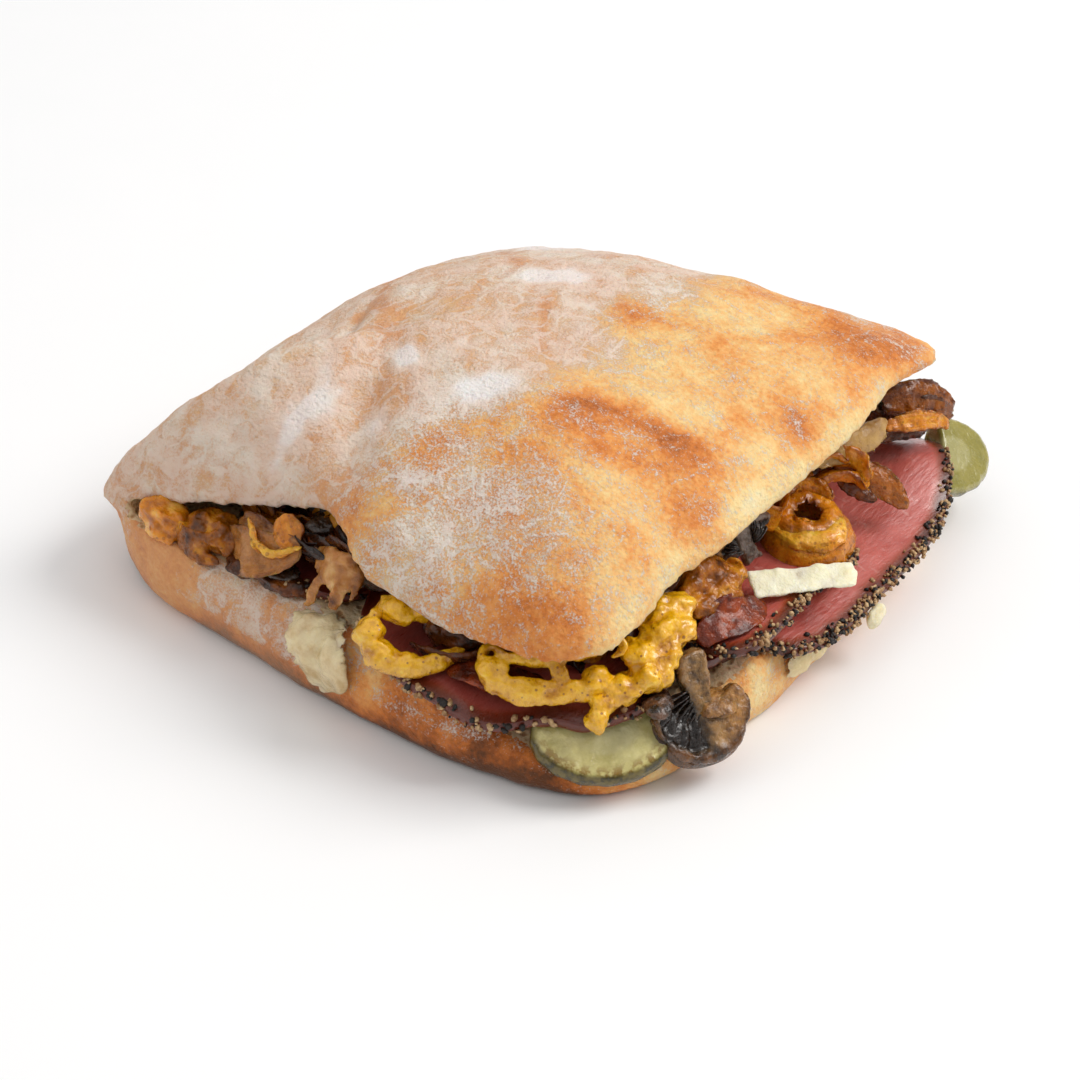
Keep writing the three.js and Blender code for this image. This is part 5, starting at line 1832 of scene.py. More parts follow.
@dataclass
class Onions:
    """Every onion piece that shows apart from the heap's."""

    pieces: tuple[OnionPiece, ...] = (
        OnionPiece(
            "onion_ring_side",
            Fry.GOLDEN,
            (
                Strip(
                    (
                        (76.2, 14, 25.4), (73.8, 20.4, 25.8), (67.5, 22.8, 27), (60.8, 20.2, 28), (58.2, 14, 28.3),
                        (60.6, 7.8, 27.2), (67, 4.9, 25.8), (73.6, 7.4, 25),
                    ),
                    10, 2.6, lean=-20, cup=-0.32, ruffle=1.5, loop=True, seed=1, stations=120, sides=26,
                ),
                Strip(
                    (
                        (73.2, 14.4, 29.8), (71.2, 19, 30.2), (66.6, 20.4, 30.8), (62.4, 18.6, 31.4), (60.8, 14, 31.4),
                        (62.4, 9.4, 30.8), (67, 7.6, 30), (71.4, 9.8, 29.6),
                    ),
                    6.4, 2.2, lean=-50, cup=-0.4, ruffle=1.4, loop=True, seed=2, stations=100, sides=22, fried=0.1,
                ),
                Strip(
                    ((63, 6.6, 29.4), (69.4, 7, 29.6), (74.4, 11, 29.6), (73.6, 17, 29.8), (69.5, 18.6, 30)),
                    6.4, 1.8, lean=-66, cup=-0.35, ruffle=1.2, seed=3, stations=70, fried=-0.35,
                ),
                Strip(
                    ((60.4, 7.4, 23.4), (65, 3.4, 22.4), (71, 3.2, 22), (75.8, 7.2, 22), (77, 13, 22.6)),
                    6, 2.2, lean=-34, cup=-0.4, ruffle=1.0, seed=4, stations=70, fried=-0.2,
                ),
                Strip(
                    ((58.6, 9.4, 30.6), (59.6, 15.6, 32.4), (63.4, 20, 33), (68.6, 21.2, 32)),
                    5.6, 1.8, lean=-20, cup=-0.4, ruffle=1.2, seed=5, fried=0.1,
                ),
                Strip(((66, 12, 30), (69.5, 14.5, 28.6), (71.5, 17, 30)), 4.5, 1.6, lean=50, ruffle=1, seed=6),
                Lump((66.8, 13.6, 22.6), (6.6, 6.6, 2), 0, 7, 0.2, 0.7),
            ),
        ),
        OnionPiece(
            "onion_strand_golden",
            Fry.GOLDEN,
            (
                Strip(
                    ((58.4, 17.6, 33.6), (59.6, 24, 35.6), (63, 30, 35.8), (67.6, 33, 34.8), (71.4, 32, 32.4)),
                    8.6, 3.4, lean=38, cup=-0.5, ruffle=1.2, seed=8, stations=90, fried=-0.15,
                ),
                Strip(
                    ((60.4, 19.6, 31.6), (64, 26.4, 32.6), (68.4, 31, 32), (71.8, 31.2, 30)),
                    6.4, 2.6, lean=62, cup=-0.4, ruffle=1.0, seed=9, stations=70, fried=0.15,
                ),
                Strip(((60, 22, 37), (63.4, 27, 37.4), (67.4, 30, 36.4)), 3.6, 1.6, lean=20, ruffle=0.8, seed=10),
            ),
        ),
        OnionPiece(
            "onion_strand_brown",
            Fry.BROWN,
            (
                Strip(
                    ((63, 30, 34), (67.4, 33, 33), (71.6, 35.6, 30.4), (75.2, 37.6, 27), (77.6, 39, 23.4)),
                    7, 1, across=(0.14, 0.72, 0.68), cup=-0.1, ruffle=1.0, ends=0.12, seed=11, stations=80, sides=24,
                    fried=-0.5,
                ),
                Strip(
                    ((65, 28.6, 31.4), (69.4, 31, 29.4), (73, 33, 26.6)),
                    4, 1, across=(0.14, 0.72, 0.68), cup=-0.1, ruffle=0.8, ends=0.2, seed=12, stations=50, fried=-0.1,
                ),
            ),
        ),
        OnionPiece(
            "onion_far",
            Fry.BROWN,
            (
                Strip(
                    ((60, 55, 36.6), (62.6, 60.6, 36.2), (65, 66, 34.4), (67.2, 70.6, 31.4), (68.4, 73.4, 28)),
                    9, 1.2, across=(-0.29, 0.51, 0.81), cup=-0.14, ruffle=1.8, ends=0.5, seed=13, stations=80, sides=24,
                    fried=-0.2,
                ),
                Strip(
                    ((60.4, 50, 29.8), (63, 56, 29.4), (65.2, 61.6, 28.6), (66.4, 67, 27)),
                    4.6, 1.6, across=(-0.33, 0.46, 0.81), ruffle=1.2, ends=0.4, seed=15, stations=60, fried=0.1,
                ),
                Strip(((62.6, 62, 34), (64.6, 67.4, 33), (66.4, 72, 30)), 5, 1.6, across=(0.5, -0.2, 0.8), seed=16),
            ),
        ),
        OnionPiece(
            "onion_far",
            Fry.GOLDEN,
            (
                Strip(
                    ((63, 51, 33.4), (66.4, 56.6, 33.2), (68.8, 62.6, 31.6), (70.8, 68, 28.6)),
                    4.8, 1.2, across=(-0.33, 0.46, 0.81), cup=0.24, ruffle=0.9, ends=0.3, seed=14, stations=60,
                ),
            ),
            trim=True,
        ),
        OnionPiece(
            "onion_brown_side",
            Fry.AMBER,
            (
                Heaped((63.2, -23, 31.8), (5.6, 8.8, 4.8), -10, 6, 5.4, 12, 1.8),
                Heaped((67, -17.5, 30.2), (4.6, 6.4, 3.8), 20, 4, 4.6, 13, 1.8),
                Lump((67.4, -25.5, 29.6), (3.6, 5, 3), 10, 17, 0.3),
            ),
            True,
        ),
        OnionPiece(
            "onion_glossy_side",
            Fry.GLOSSY,
            (
                Strip(
                    ((71.4, -34, 25.4), (72.4, -29.6, 27), (74, -24, 27), (74.4, -18, 26.6), (73, -14, 26.6)),
                    8, 2, across=(0.9, -0.2, -0.5), cup=-0.25, ruffle=0.9, ends=0.5, seed=18, stations=64,
                ),
                Strip(
                    ((68.5, -30, 28.6), (71, -24.6, 29.4), (72.4, -18.6, 29)),
                    5, 2, across=(0.6, -0.2, -0.8), cup=-0.4, ruffle=0.8, seed=19,
                ),
                Lump((71.4, -25, 26), (3.8, 8, 2.2), 8, 20, 0.3),
            ),
            True,
        ),
        OnionPiece(
            "onion_brown_front",
            Fry.BROWN,
            (
                Heaped((29.6, -64.4, 28), (8.8, 5.2, 4.6), 10, 8, 4.6, 21, 1.4, 0.3),
                Strip(((22, -70, 24), (28, -71.6, 25.6), (35, -69.4, 26), (39, -66, 27.6)), 5, 1.6, lean=30, seed=22),
            ),
            True,
        ),
        OnionPiece(
            "onion_glossy_front",
            Fry.GLOSSY,
            (
                Strip(
                    ((33, -71, 22.8), (40, -70, 24.4), (47, -68, 24.6), (54, -63.4, 23.8)),
                    7.5, 1.5, across=(0.3, -0.9, -0.2), cup=-0.2, ruffle=0.8, seed=23, fried=0.15,
                ),
                Lump((44, -66.4, 22.8), (9.4, 4.4, 2), 22, 24, 0.3, 0.3),
            ),
            True,
        ),
        OnionPiece(
            "onion_petal_left",
            Fry.TAN,
            (
                Strip(
                    ((-37, -64, 22), (-31, -67.4, 24.2), (-25, -69.2, 26.6), (-18, -69, 29), (-11.6, -67, 32.6)),
                    11, 1.1, across=(-0.38, 0.44, 0.81), cup=0.18, ruffle=1.1, ends=0.3, seed=25, stations=90, sides=26,
                    fried=0.1,
                ),
                Strip(
                    ((-33, -64, 28), (-28, -66, 30), (-22, -67, 30.4), (-17, -66, 31)),
                    8, 1.1, across=(-0.2, 0.6, 0.78), ruffle=1.0, seed=26, fried=0.4,
                ),
            ),
        ),
        OnionPiece(
            "onion_petal_left",
            Fry.GOLDEN,
            (
                Strip(
                    (
                        (-26.6, -67.4, 34.2), (-24.4, -68.4, 32), (-22.2, -69.6, 30.2), (-18.3, -69.8, 29.6),
                        (-14.6, -69, 31), (-11, -67.4, 33),
                    ),
                    2.2, 1.1, across=(-0.38, 0.44, 0.81), cup=0.3, ruffle=0.8, ends=0.12, seed=27, stations=70, fried=-0.5,
                ),
                Strip(
                    ((-18.4, -64.4, 36.6), (-16.6, -65.6, 35), (-14.8, -66.8, 33.4), (-13, -67.2, 32)),
                    7, 1.0, across=(-0.53, -0.62, -0.23), ruffle=0.8, seed=28, fried=0.05,
                ),
            ),
            trim=True,
        ),
        OnionPiece(
            "onion_shred_left",
            Fry.TAN,
            (
                Strip(
                    ((-7, -66, 32), (-2.5, -68.4, 31.4), (2, -68.6, 31.6), (6.6, -66.4, 32)),
                    7.6, 0.9, across=(0, 0.67, 0.74), cup=-0.4, ruffle=2.0, ends=0.4, seed=29, stations=60,
                ),
                Strip(
                    ((-9.6, -63.4, 31), (-4.4, -66, 33.6), (1, -66.6, 35), (5.4, -64.4, 35.6)),
                    3.8, 1.0, across=(0, 0.67, 0.74), cup=-0.3, ruffle=1.2, ends=0.3, seed=30, stations=60,
                ),
                Strip(
                    ((-2.6, -68.8, 30.6), (-4.6, -70, 27.4), (-5.6, -70.6, 24), (-7, -70.8, 20.8)),
                    3.0, 0.9, across=(-0.84, -0.22, 0.49), cup=-0.3, ruffle=1.2, ends=0.35, seed=31, stations=50,
                ),
                Strip(
                    ((2.4, -69, 31), (2.2, -70.4, 28), (1.4, -71, 25.6), (0.8, -71, 23.6)),
                    3.6, 1.0, across=(-0.86, -0.46, 0.23), cup=-0.3, ruffle=1.2, ends=0.45, seed=32, stations=50,
                ),
                Strip(((6, -67.4, 32), (6, -69.6, 29.4), (5.4, -70.6, 27.4)), 2, 0.9, across=(1, 0.4, 0), seed=33),
            ),
            True,
        ),
        OnionPiece(
            "onion_ring_back",
            Fry.GOLDEN,
            (
                Strip(
                    ((22, 60, 31), (28, 66, 29.5), (36, 68, 29), (42, 62, 30), (36, 57, 32), (28, 56, 32)),
                    7.5, 1.9, lean=-15, cup=-0.35, ruffle=1.2, loop=True, seed=33, stations=100, sides=24,
                ),
                Strip(
                    ((25, 60, 33), (30, 64, 32), (36, 64, 31.6), (39, 61, 32)),
                    4.6, 1.6, lean=-40, ruffle=1.0, seed=34, fried=-0.2,
                ),
            ),
        ),
        OnionPiece(
            "onion_strand_back",
            Fry.AMBER,
            (
                Strip(
                    ((-18, 58, 27.5), (-11, 66, 28.5), (-2, 69, 27.5), (7, 66, 28.5), (12, 59, 30)),
                    8.5, 1.4, lean=15, cup=-0.25, ruffle=1.2, seed=35, stations=80, sides=24,
                ),
            ),
        ),
        OnionPiece("onion_brown_back", Fry.BROWN, (Heaped((-33, 62, 23.6), (8.4, 4.8, 3.6), 0, 9, 4.4, 36),), True),
        OnionPiece(
            "onion_brown_left",
            Fry.AMBER,
            (
                Heaped((-40.6, -65.6, 23.8), (7.6, 5, 4.8), 0, 6, 4.6, 37, 1.6, 0.2),
                Lump((-44, -68.4, 22.4), (3.6, 3, 3.4), 0, 45, 0.45, 0.1),
                Lump((-40, -69.6, 22.8), (3.2, 2.6, 3), 0, 46, 0.45, 0.1),
                Lump((-36.4, -67.6, 24.8), (3.4, 2.8, 3.2), 0, 38, 0.45, 0.3),
                Lump((-33, -65.4, 23.6), (4, 3.6, 3), 0, 39, 0.4, 0.4),
                Strip(((-47, -69, 25), (-42, -71, 25.4), (-36, -69.4, 25)), 3.6, 1.6, lean=24, ruffle=1, seed=47),
                Strip(((-46, -70.4, 20.4), (-40, -72, 20.8), (-33, -71, 21)), 3.6, 1.6, lean=-30, ruffle=1, seed=48),
            ),
            True,
        ),
        OnionPiece(
            "onion_orange_left",
            Fry.ORANGE,
            (
                Lump((-53.6, -67, 22.4), (6.6, 4.4, 5), 0, 40, 0.4),
                Lump((-48.8, -68, 22.6), (4, 3.4, 3.8), 0, 41, 0.4, 0.2),
                Lump((-57.4, -66.6, 22.6), (3.4, 3.2, 3.4), 0, 42, 0.4),
                Strip(((-58, -69, 20), (-53, -71.4, 21), (-47, -71.6, 20.6)), 4.5, 1.8, lean=-20, ruffle=0.8, seed=43),
                Strip(((-57, -67, 25), (-52, -70, 25.4), (-47, -69, 24.6)), 4, 1.6, lean=30, ruffle=0.8, seed=44),
            ),
            True,
        ),
    )

    def build(self) -> None:
        """Builds and dresses the onions."""
        for piece in self.pieces:
            finish = FriedOnion("onion_" + piece.fry.name.lower(), piece.fry)
            name = piece.node + ("_trim" if piece.trim else "_fried")
            Piece.put(name, piece.form(), [finish], piece.node, () if piece.trim else [piece.node])


# ---- The mushrooms -------------------------------------------------------------------------------


@dataclass(frozen=True)
class MushroomSlice:
    """A slice cut through a mushroom's cap and stem, with its own middle and directions."""

    node: str
    wide: float
    tall: float
    at: Triple
    normal: Triple
    up: Triple
    flesh: str = "A8804E"
    skin: str = "6C4216"
    lamellae: int = 8
    rolled: bool = False

    def marks(self, points: Array) -> tuple[Array, Array, Array]:
        """How much each point is cap skin, gill and which gill.

        Args:
            points: The points.

        Returns:
            Skin and gill from 0 to 1, and a wave over the gills.
        """
        side, top, _ = self.axes()
        p = points - np.array(self.at)
        a, b = p @ side, p @ top
        half = self.wide / 2
        rise = smooth(np.abs(a) / half, 1.0, 0.0)
        crest = self.tall * (0.5 + 0.42 * np.sqrt(np.clip(1 - (a / half) ** 2, 0, 1)))
        skin = smooth(crest - b, 2.0, 0.4) * smooth(b, self.tall * 0.3, self.tall * 0.42)
        inner = self.tall * (0.36 + 0.12 * rise)
        gill = smooth(np.abs(a), half * 0.2, half * 0.34) * smooth(np.abs(a), half * 0.98, half * 0.8)
        gill *= smooth(b - inner, -1.2, 0.2) * smooth(b - inner, self.tall * 0.26, self.tall * 0.15)
        fan = np.degrees(np.arctan2(b - self.tall * 0.1, a))
        if self.rolled:
            side = half * (0.35 - 0.5 * b / self.tall)
            dark = smooth(a - side, -half * 0.12, half * 0.12) * smooth(b, self.tall * 0.22, self.tall * 0.4)
            gill = np.maximum(gill * smooth(a - side, -half * 0.1, half * 0.1), dark * (1 - skin))
        return skin, gill, np.sin(fan * 0.55)

    def form(self) -> Form:
        """The slice with its gills and the marks skin, gill and blush.

        Returns:
            The form.
        """
        form = remesh(solid_of(self.node), 0.42, 3)
        skin, gill, wave = self.marks(form.points)
        form.push(gill * (0.35 * wave - 0.9) + 0.5 * skin)
        form = bumpy(form, ((5.0, 0.8), (1.8, 0.3)), 61)
        across = (form.points - np.array(self.at)) @ self.axes()[0]
        form.marks = {"skin": skin, "gill": gill, "blush": smooth(across, -self.wide * 0.05, -self.wide * 0.35)}
        return Form.join([form, *self.gills(), *self.rim()])

    def rim(self) -> list[Form]:
        """The rolled brown rim and the translucent lobe of a slice that has folded over."""
        if not self.rolled:
            return []
        side, top, face = self.axes()

        def place(a: float, b: float, out: float) -> Triple:
            """A point from shares of half the width and of the height."""
            spot = np.array(self.at) + side * a * self.wide / 2 + top * b * self.tall + face * out
            return tuple(float(value) for value in spot)

        route = [(0.98, 0.52, 0.6), (0.9, 0.74, 1.0), (0.6, 0.92, 1.2), (0.1, 0.98, 1.0), (-0.5, 0.94, 0.8), (-0.92, 0.74, 0.6)]
        roll = Strip(tuple(place(*stop) for stop in route), 4.2, 2.6, across=tuple(face), cup=-0.3, ruffle=0.9, seed=71)
        form = roll.form()
        form.marks = {"skin": np.ones(len(form.points))}
        lobe = lump(place(-0.42, 0.5, 0.8), (4.4, 4.8, 2.0), 30, 72, 0.3)
        lobe.marks = {"blush": np.full(len(lobe.points), 0.8)}
        return [form, lobe]

    def axes(self) -> tuple[Array, Array, Array]:
        """Its directions across, up and out of its cut face."""
        face = unit(np.array(self.normal, float))
        side = unit(np.cross(np.array(self.up, float), face))
        return side, np.cross(face, side), face

    def gills(self) -> list[Form]:
        """Dark gills that fan out between stem and cap."""
        side, top, face = self.axes()
        rng = np.random.default_rng(62)
        made = []
        for way in (1,) if self.rolled else (-1, 1):
            for k in range(self.lamellae):
                f = (k + 0.5) / self.lamellae
                start = np.array([way * self.wide * (0.1 + 0.05 * f), self.tall * (0.3 + 0.24 * f)])
                start[0] -= (0.02 + 0.16 * f) * self.wide if self.rolled else 0
                turn = math.radians(8 + 62 * f)
                reach = self.wide * (0.44 if self.rolled else 0.3) * rng.uniform(0.87, 1.13) * (1 - 0.3 * f)
                stops = []
                for g in np.linspace(0, 1, 4):
                    a, b = start + reach * g * np.array([way * math.cos(turn), math.sin(turn)])
                    out = 1.3 - 1.1 * g**2 + 0.3 * rng.uniform(-1, 1)
                    stops.append(tuple(np.array(self.at) + side * a + top * b + face * out))
                strip = Strip(tuple(stops), 2.6, 0.7, across=tuple(face), ruffle=0.4, seed=70 + k, stations=22, sides=10)
                form = strip.form()
                form.marks = {"gill": np.ones(len(form.points))}
                made.append(form)
        return made


@dataclass(frozen=True)
class Fungus(Finish):
    """Fried mushroom: grey-brown wet flesh, near-black gills and a brown glossy skin."""

    flesh_code: str
    skin_code: str

    def dress(self, tree: Tree, shader: bpy.types.Node) -> None:
        """Lays out the mushroom."""
        shade = self.effect(tree, Effects.mottle(), Size=3.0, Amount=0.9)
        streak = tree.noise(tree.places((1, 1, 0.3)), 0.9, 3.0)
        light = tree.mix(tree.span(shade, -0.4, 0.45, (0.0, 1.0)), self.flesh_code, "38220F")
        warm = tree.mix(tree.span(shade, -0.4, 0.4, (0.0, 1.0)), "C88E48", "744412")
        light = tree.mix(tree.maths("MULTIPLY", tree.mark("blush"), 0.7), light, warm)
        skin = tree.mix(tree.span(shade, -0.3, 0.4, (0.0, 1.0)), self.skin_code, "24140A")
        tone = tree.mix(tree.mark("skin"), light, skin)
        gills = tree.mix(streak, "0E0A08", "2E2018")
        tone = tree.mix(tree.mark("gill"), tone, gills)
        tree.join(tone, shader.inputs["Base Color"])
        tree.join(tree.span(streak, 0.3, 0.7, (0.12, 0.32)), shader.inputs["Roughness"])
        self.flesh(shader, 0.25, (2.4, 1.2, 0.6), 0.4)
        self.bump(tree, shader, tree.maths("MULTIPLY_ADD", streak, 0.7, tree.noise(tree.places(), 1.6, 3.0)), 0.6)


@dataclass
class Mushrooms:
    """Every mushroom piece that shows apart from the heap's."""

    slices: tuple[MushroomSlice, ...] = (
        MushroomSlice("mushroom_front", 21, 24, (72.5, -39.5, 27), (0.8, -0.45, 0.45), (0.4, -0.2, -0.9), rolled=True),
        MushroomSlice("mushroom_side", 15, 13, (66, -6, 29), (0.85, -0.35, 0.3), (-0.35, -0.2, 0.9), "85756A"),
        MushroomSlice("mushroom_back", 17, 15, (50, 63.5, 35), (0.15, 0.95, 0.3), (0.3, 0.2, -0.9)),
    )
    scraps: tuple[tuple[str, str, str], ...] = (
        ("mushroom_under_glob", "6E4C36", "3C2213"), ("mushroom_left", "4A3224", "22140C"),
    )

    def build(self) -> None:
        """Builds and dresses the mushrooms."""
        for cut in self.slices:
            finish = Fungus(cut.node + "_flesh", cut.flesh, cut.skin)
            Piece.put(cut.node + "_slice", cut.form(), [finish], cut.node, [cut.node])
        for node, flesh, skin in self.scraps:
            form = bumpy(remesh(solid_of(node), 0.4, 3), ((3.0, 0.4), (1.2, 0.18)), 66)
            wave = Noise(67).layers(form.points, 4, 2)
            form.marks = {"skin": smooth(wave, -0.1, 0.3), "gill": smooth(wave, -0.2, -0.5)}
            Piece.put(node + "_scrap", form, [Fungus(node + "_flesh", flesh, skin)], node, [node])


# ---- Mustard, pickles and cheese -----------------------------------------------------------------


@dataclass(frozen=True)
class MustardSauce(Finish):
    """Glossy grainy mustard, darker in its folds and on its undersides as painted shade."""

    def dress(self, tree: Tree, shader: bpy.types.Node) -> None:
        """Lays out the mustard."""
        shade = self.effect(tree, Effects.mottle(), Size=3.0, Amount=0.35)
        fine = tree.noise(tree.places(), 0.8, 4.0)
        level = tree.maths("ADD", tree.maths("MULTIPLY_ADD", fine, 0.5, 0.45), shade)
        # Painted shade: the colour darkens where the mark says a fold's low part or an underside lies.
        tone = tree.ramp(
            tree.maths("MULTIPLY_ADD", tree.mark("hollow"), -0.42, level),
            [(0.0, "8A4C00"), (0.22, "BC7600"), (0.45, "E0A000"), (0.72, "F6BA08"), (1.0, "FFDA48")],
        )
        speck = self.effect(tree, Effects.specks(), Spacing=1.9, Width=0.34)
        tone = tree.mix(tree.maths("MULTIPLY", speck, 0.8), tone, "8A4A10")
        tree.join(tone, shader.inputs["Base Color"])
        tree.join(tree.span(fine, 0.3, 0.7, (0.16, 0.34)), shader.inputs["Roughness"])
        self.flesh(shader, 0.06, (1.6, 1.0, 0.2), 0.8)
        shader.inputs["Coat Roughness"].default_value = 0.07
        self.bump(tree, shader, fine, 0.4)


@dataclass
class Mustard:
    """The beads and blobs of mustard along the front."""

    def forms(self) -> dict[str, list[Form]]:
        """Each node's forms.

        Returns:
            They, by node.
        """
        hook = (
            (15, -72.6, 30.4), (15.2, -76.6, 28.4), (18.4, -79, 25.8), (23, -78.4, 24.2),
            (28, -75.8, 23.8), (32, -71.4, 24.8), (34.4, -66.6, 26.6),
        )
        ring = (
            (40.2, -65.6, 30), (41.6, -70, 28.6), (46, -72, 26.8), (52, -70.4, 25.8),
            (57.4, -66.2, 25.4), (62.4, -60.4, 25.4), (65.6, -54.8, 26.4),
        )
        band = ((41.4, -67, 31), (47, -67.6, 31), (53, -64.2, 31), (58.4, -59, 31.4), (62, -53.6, 31.8))
        loop = ((58, -57.4, 31.4), (58.6, -54.4, 33.6), (61.8, -51.4, 33.6), (65, -51.6, 32), (64, -54.8, 30.6))
        return {
            "mustard_hook_left": [
                Strip(hook, 5.6, 3.6, ends=0.35, ruffle=1.1, seed=51).form(),
                lump((16.8, -76.8, 28.6), (3.4, 3, 3.4), 0, 52, 0.35),
                lump((20.8, -78.8, 26), (3.8, 2.6, 3), 20, 53, 0.35),
                lump((26, -76.4, 24.6), (3.6, 2.4, 2.2), 30, 54, 0.35),
                lump((15.4, -73, 30.8), (1.8, 2.2, 1.6), 0, 50, 0.3),
            ],
            "mustard_ring_front": [
                Strip(ring, 6.4, 2.8, lean=-14, ruffle=1.3, ends=0.5, seed=55, stations=80).form(),
                Strip(band, 3.4, 2.2, ruffle=0.9, seed=56).form(),
                Strip(loop, 2.6, 2.2, ruffle=0.7, seed=57).form(),
                Strip(((46, -68, 30.6), (47.6, -70.4, 28.6), (49, -71, 26.8)), 3, 1.8, across=(1, 0, 0), seed=58).form(),
                Strip(((55, -62.4, 31), (57.6, -63.6, 28.6), (59, -64, 26.4)), 4, 1.8, across=(1, 1, 0), seed=49).form(),
                lump((44, -70.6, 28), (3, 2.6, 2.6), 0, 48, 0.35),
                lump((63, -58.4, 27), (3, 3.4, 2.4), 30, 47, 0.35),
            ],
            "mustard_glob_front": [
                lump((65, -35.4, 32.6), (5, 4.4, 3.2), 40, 59, 0.4),
                lump((69.4, -38.4, 31), (4.2, 4.6, 3.4), 20, 60, 0.4),
                lump((66.6, -41.6, 32), (4.4, 5, 3), 10, 61, 0.4),
                lump((70.4, -44.6, 29), (3.6, 4.8, 3.2), 10, 62, 0.4),
                lump((66.8, -48.6, 29.4), (4.4, 4.4, 2.8), 30, 46, 0.4),
                lump((71, -50.6, 26.6), (3.2, 4, 3), 0, 45, 0.4),
                lump((67.6, -55, 25), (4.6, 3.6, 2.8), 40, 44, 0.4),
                lump((66.2, -59.4, 22.8), (3.2, 3, 2.6), 0, 43, 0.4),
                lump((66.6, -62.6, 20.2), (2.2, 2, 3), 0, 42, 0.3),
                lump((72.6, -48, 26), (2.4, 2.2, 2.4), 0, 41, 0.3),
            ],
            "mustard_blob_left": [
                lump((18.6, -70, 31.6), (4.6, 3.4, 3), 0, 65, 0.35),
                lump((22.4, -67.4, 31.8), (3.2, 2.8, 2.4), 0, 66, 0.35),
            ],
        }

    def build(self) -> None:
        """Builds and dresses the mustard."""
        for node, forms in self.forms().items():
            form = remesh(Form.join(forms), 0.42, 2)
            noise = Noise(70)
            folds = noise.layers(form.points, 5.5, 2) + 0.35 * noise.layers(form.points + 9, 2.4, 2)
            grain = noise.layers(form.points + 20, 1.3, 2)
            form.push(folds * (1.2 if "glob" in node else 0.7) + 0.16 * grain)
            # Painted shade: the mustard is marked darker on its undersides and in the low parts of its folds.
            under = smooth(-form.normals()[:, 2], -0.1, 0.8)
            hollow = 0.8 * smooth(folds, 0.1, -0.6) + 0.35 * smooth(grain, 0.2, -0.6)
            form.marks = {"hollow": np.clip(np.maximum(hollow, under), 0, 1)}
            Piece.put(node + "_sauce", form, [MustardSauce("mustard_sauce")], node, [node])


@dataclass(frozen=True)
class PickledCucumber(Finish):
    """A pickle slice: pale wet flesh inside a dark skin."""

    flesh_code: str
    skin_code: str

    def dress(self, tree: Tree, shader: bpy.types.Node) -> None:
        """Lays out the pickle."""
        shade = self.effect(tree, Effects.mottle(), Size=6.0, Amount=0.5)
        fine = tree.noise(tree.places(), 1.6, 4.0)
        flesh = tree.mix(tree.span(shade, -0.3, 0.3, (0.0, 1.0)), self.flesh_code, "A69A52")
        seeds = tree.span(tree.mark("seeds"), 0.3, 0.9, (0.0, 0.35))
        flesh = tree.mix(seeds, flesh, "CDC79A")
        smear = tree.maths("MULTIPLY", tree.mark("smear"), tree.span(fine, 0.4, 0.6, (0.0, 1.0)))
        flesh = tree.mix(smear, flesh, "8A6A1E")
        skin = tree.mix(tree.span(fine, 0.35, 0.65, (0.0, 1.0)), self.skin_code, "38320C")
        tree.join(tree.mix(tree.mark("skin"), flesh, skin), shader.inputs["Base Color"])
        tree.join(tree.span(fine, 0.3, 0.7, (0.12, 0.3)), shader.inputs["Roughness"])
        self.flesh(shader, 0.35, (2.2, 2.2, 0.9), 0.35)
        self.bump(tree, shader, fine, 0.3)


@dataclass(frozen=True)
class Curd(Finish):
    """Pale cheese with a dry crumbly face, or melted and smooth."""

    code: str
    deep: str
    rough: float

    def dress(self, tree: Tree, shader: bpy.types.Node) -> None:
        """Lays out the cheese."""
        shade = self.effect(tree, Effects.mottle(), Size=3.5, Amount=0.6)
        fine = tree.noise(tree.places(), 0.7, 4.0)
        tree.join(tree.mix(tree.span(shade, -0.3, 0.5, (0.0, 1.0)), self.code, self.deep), shader.inputs["Base Color"])
        shader.inputs["Roughness"].default_value = self.rough
        self.flesh(shader, 0.4, (2.4, 2.0, 1.2))
        self.bump(tree, shader, fine, 0.3)


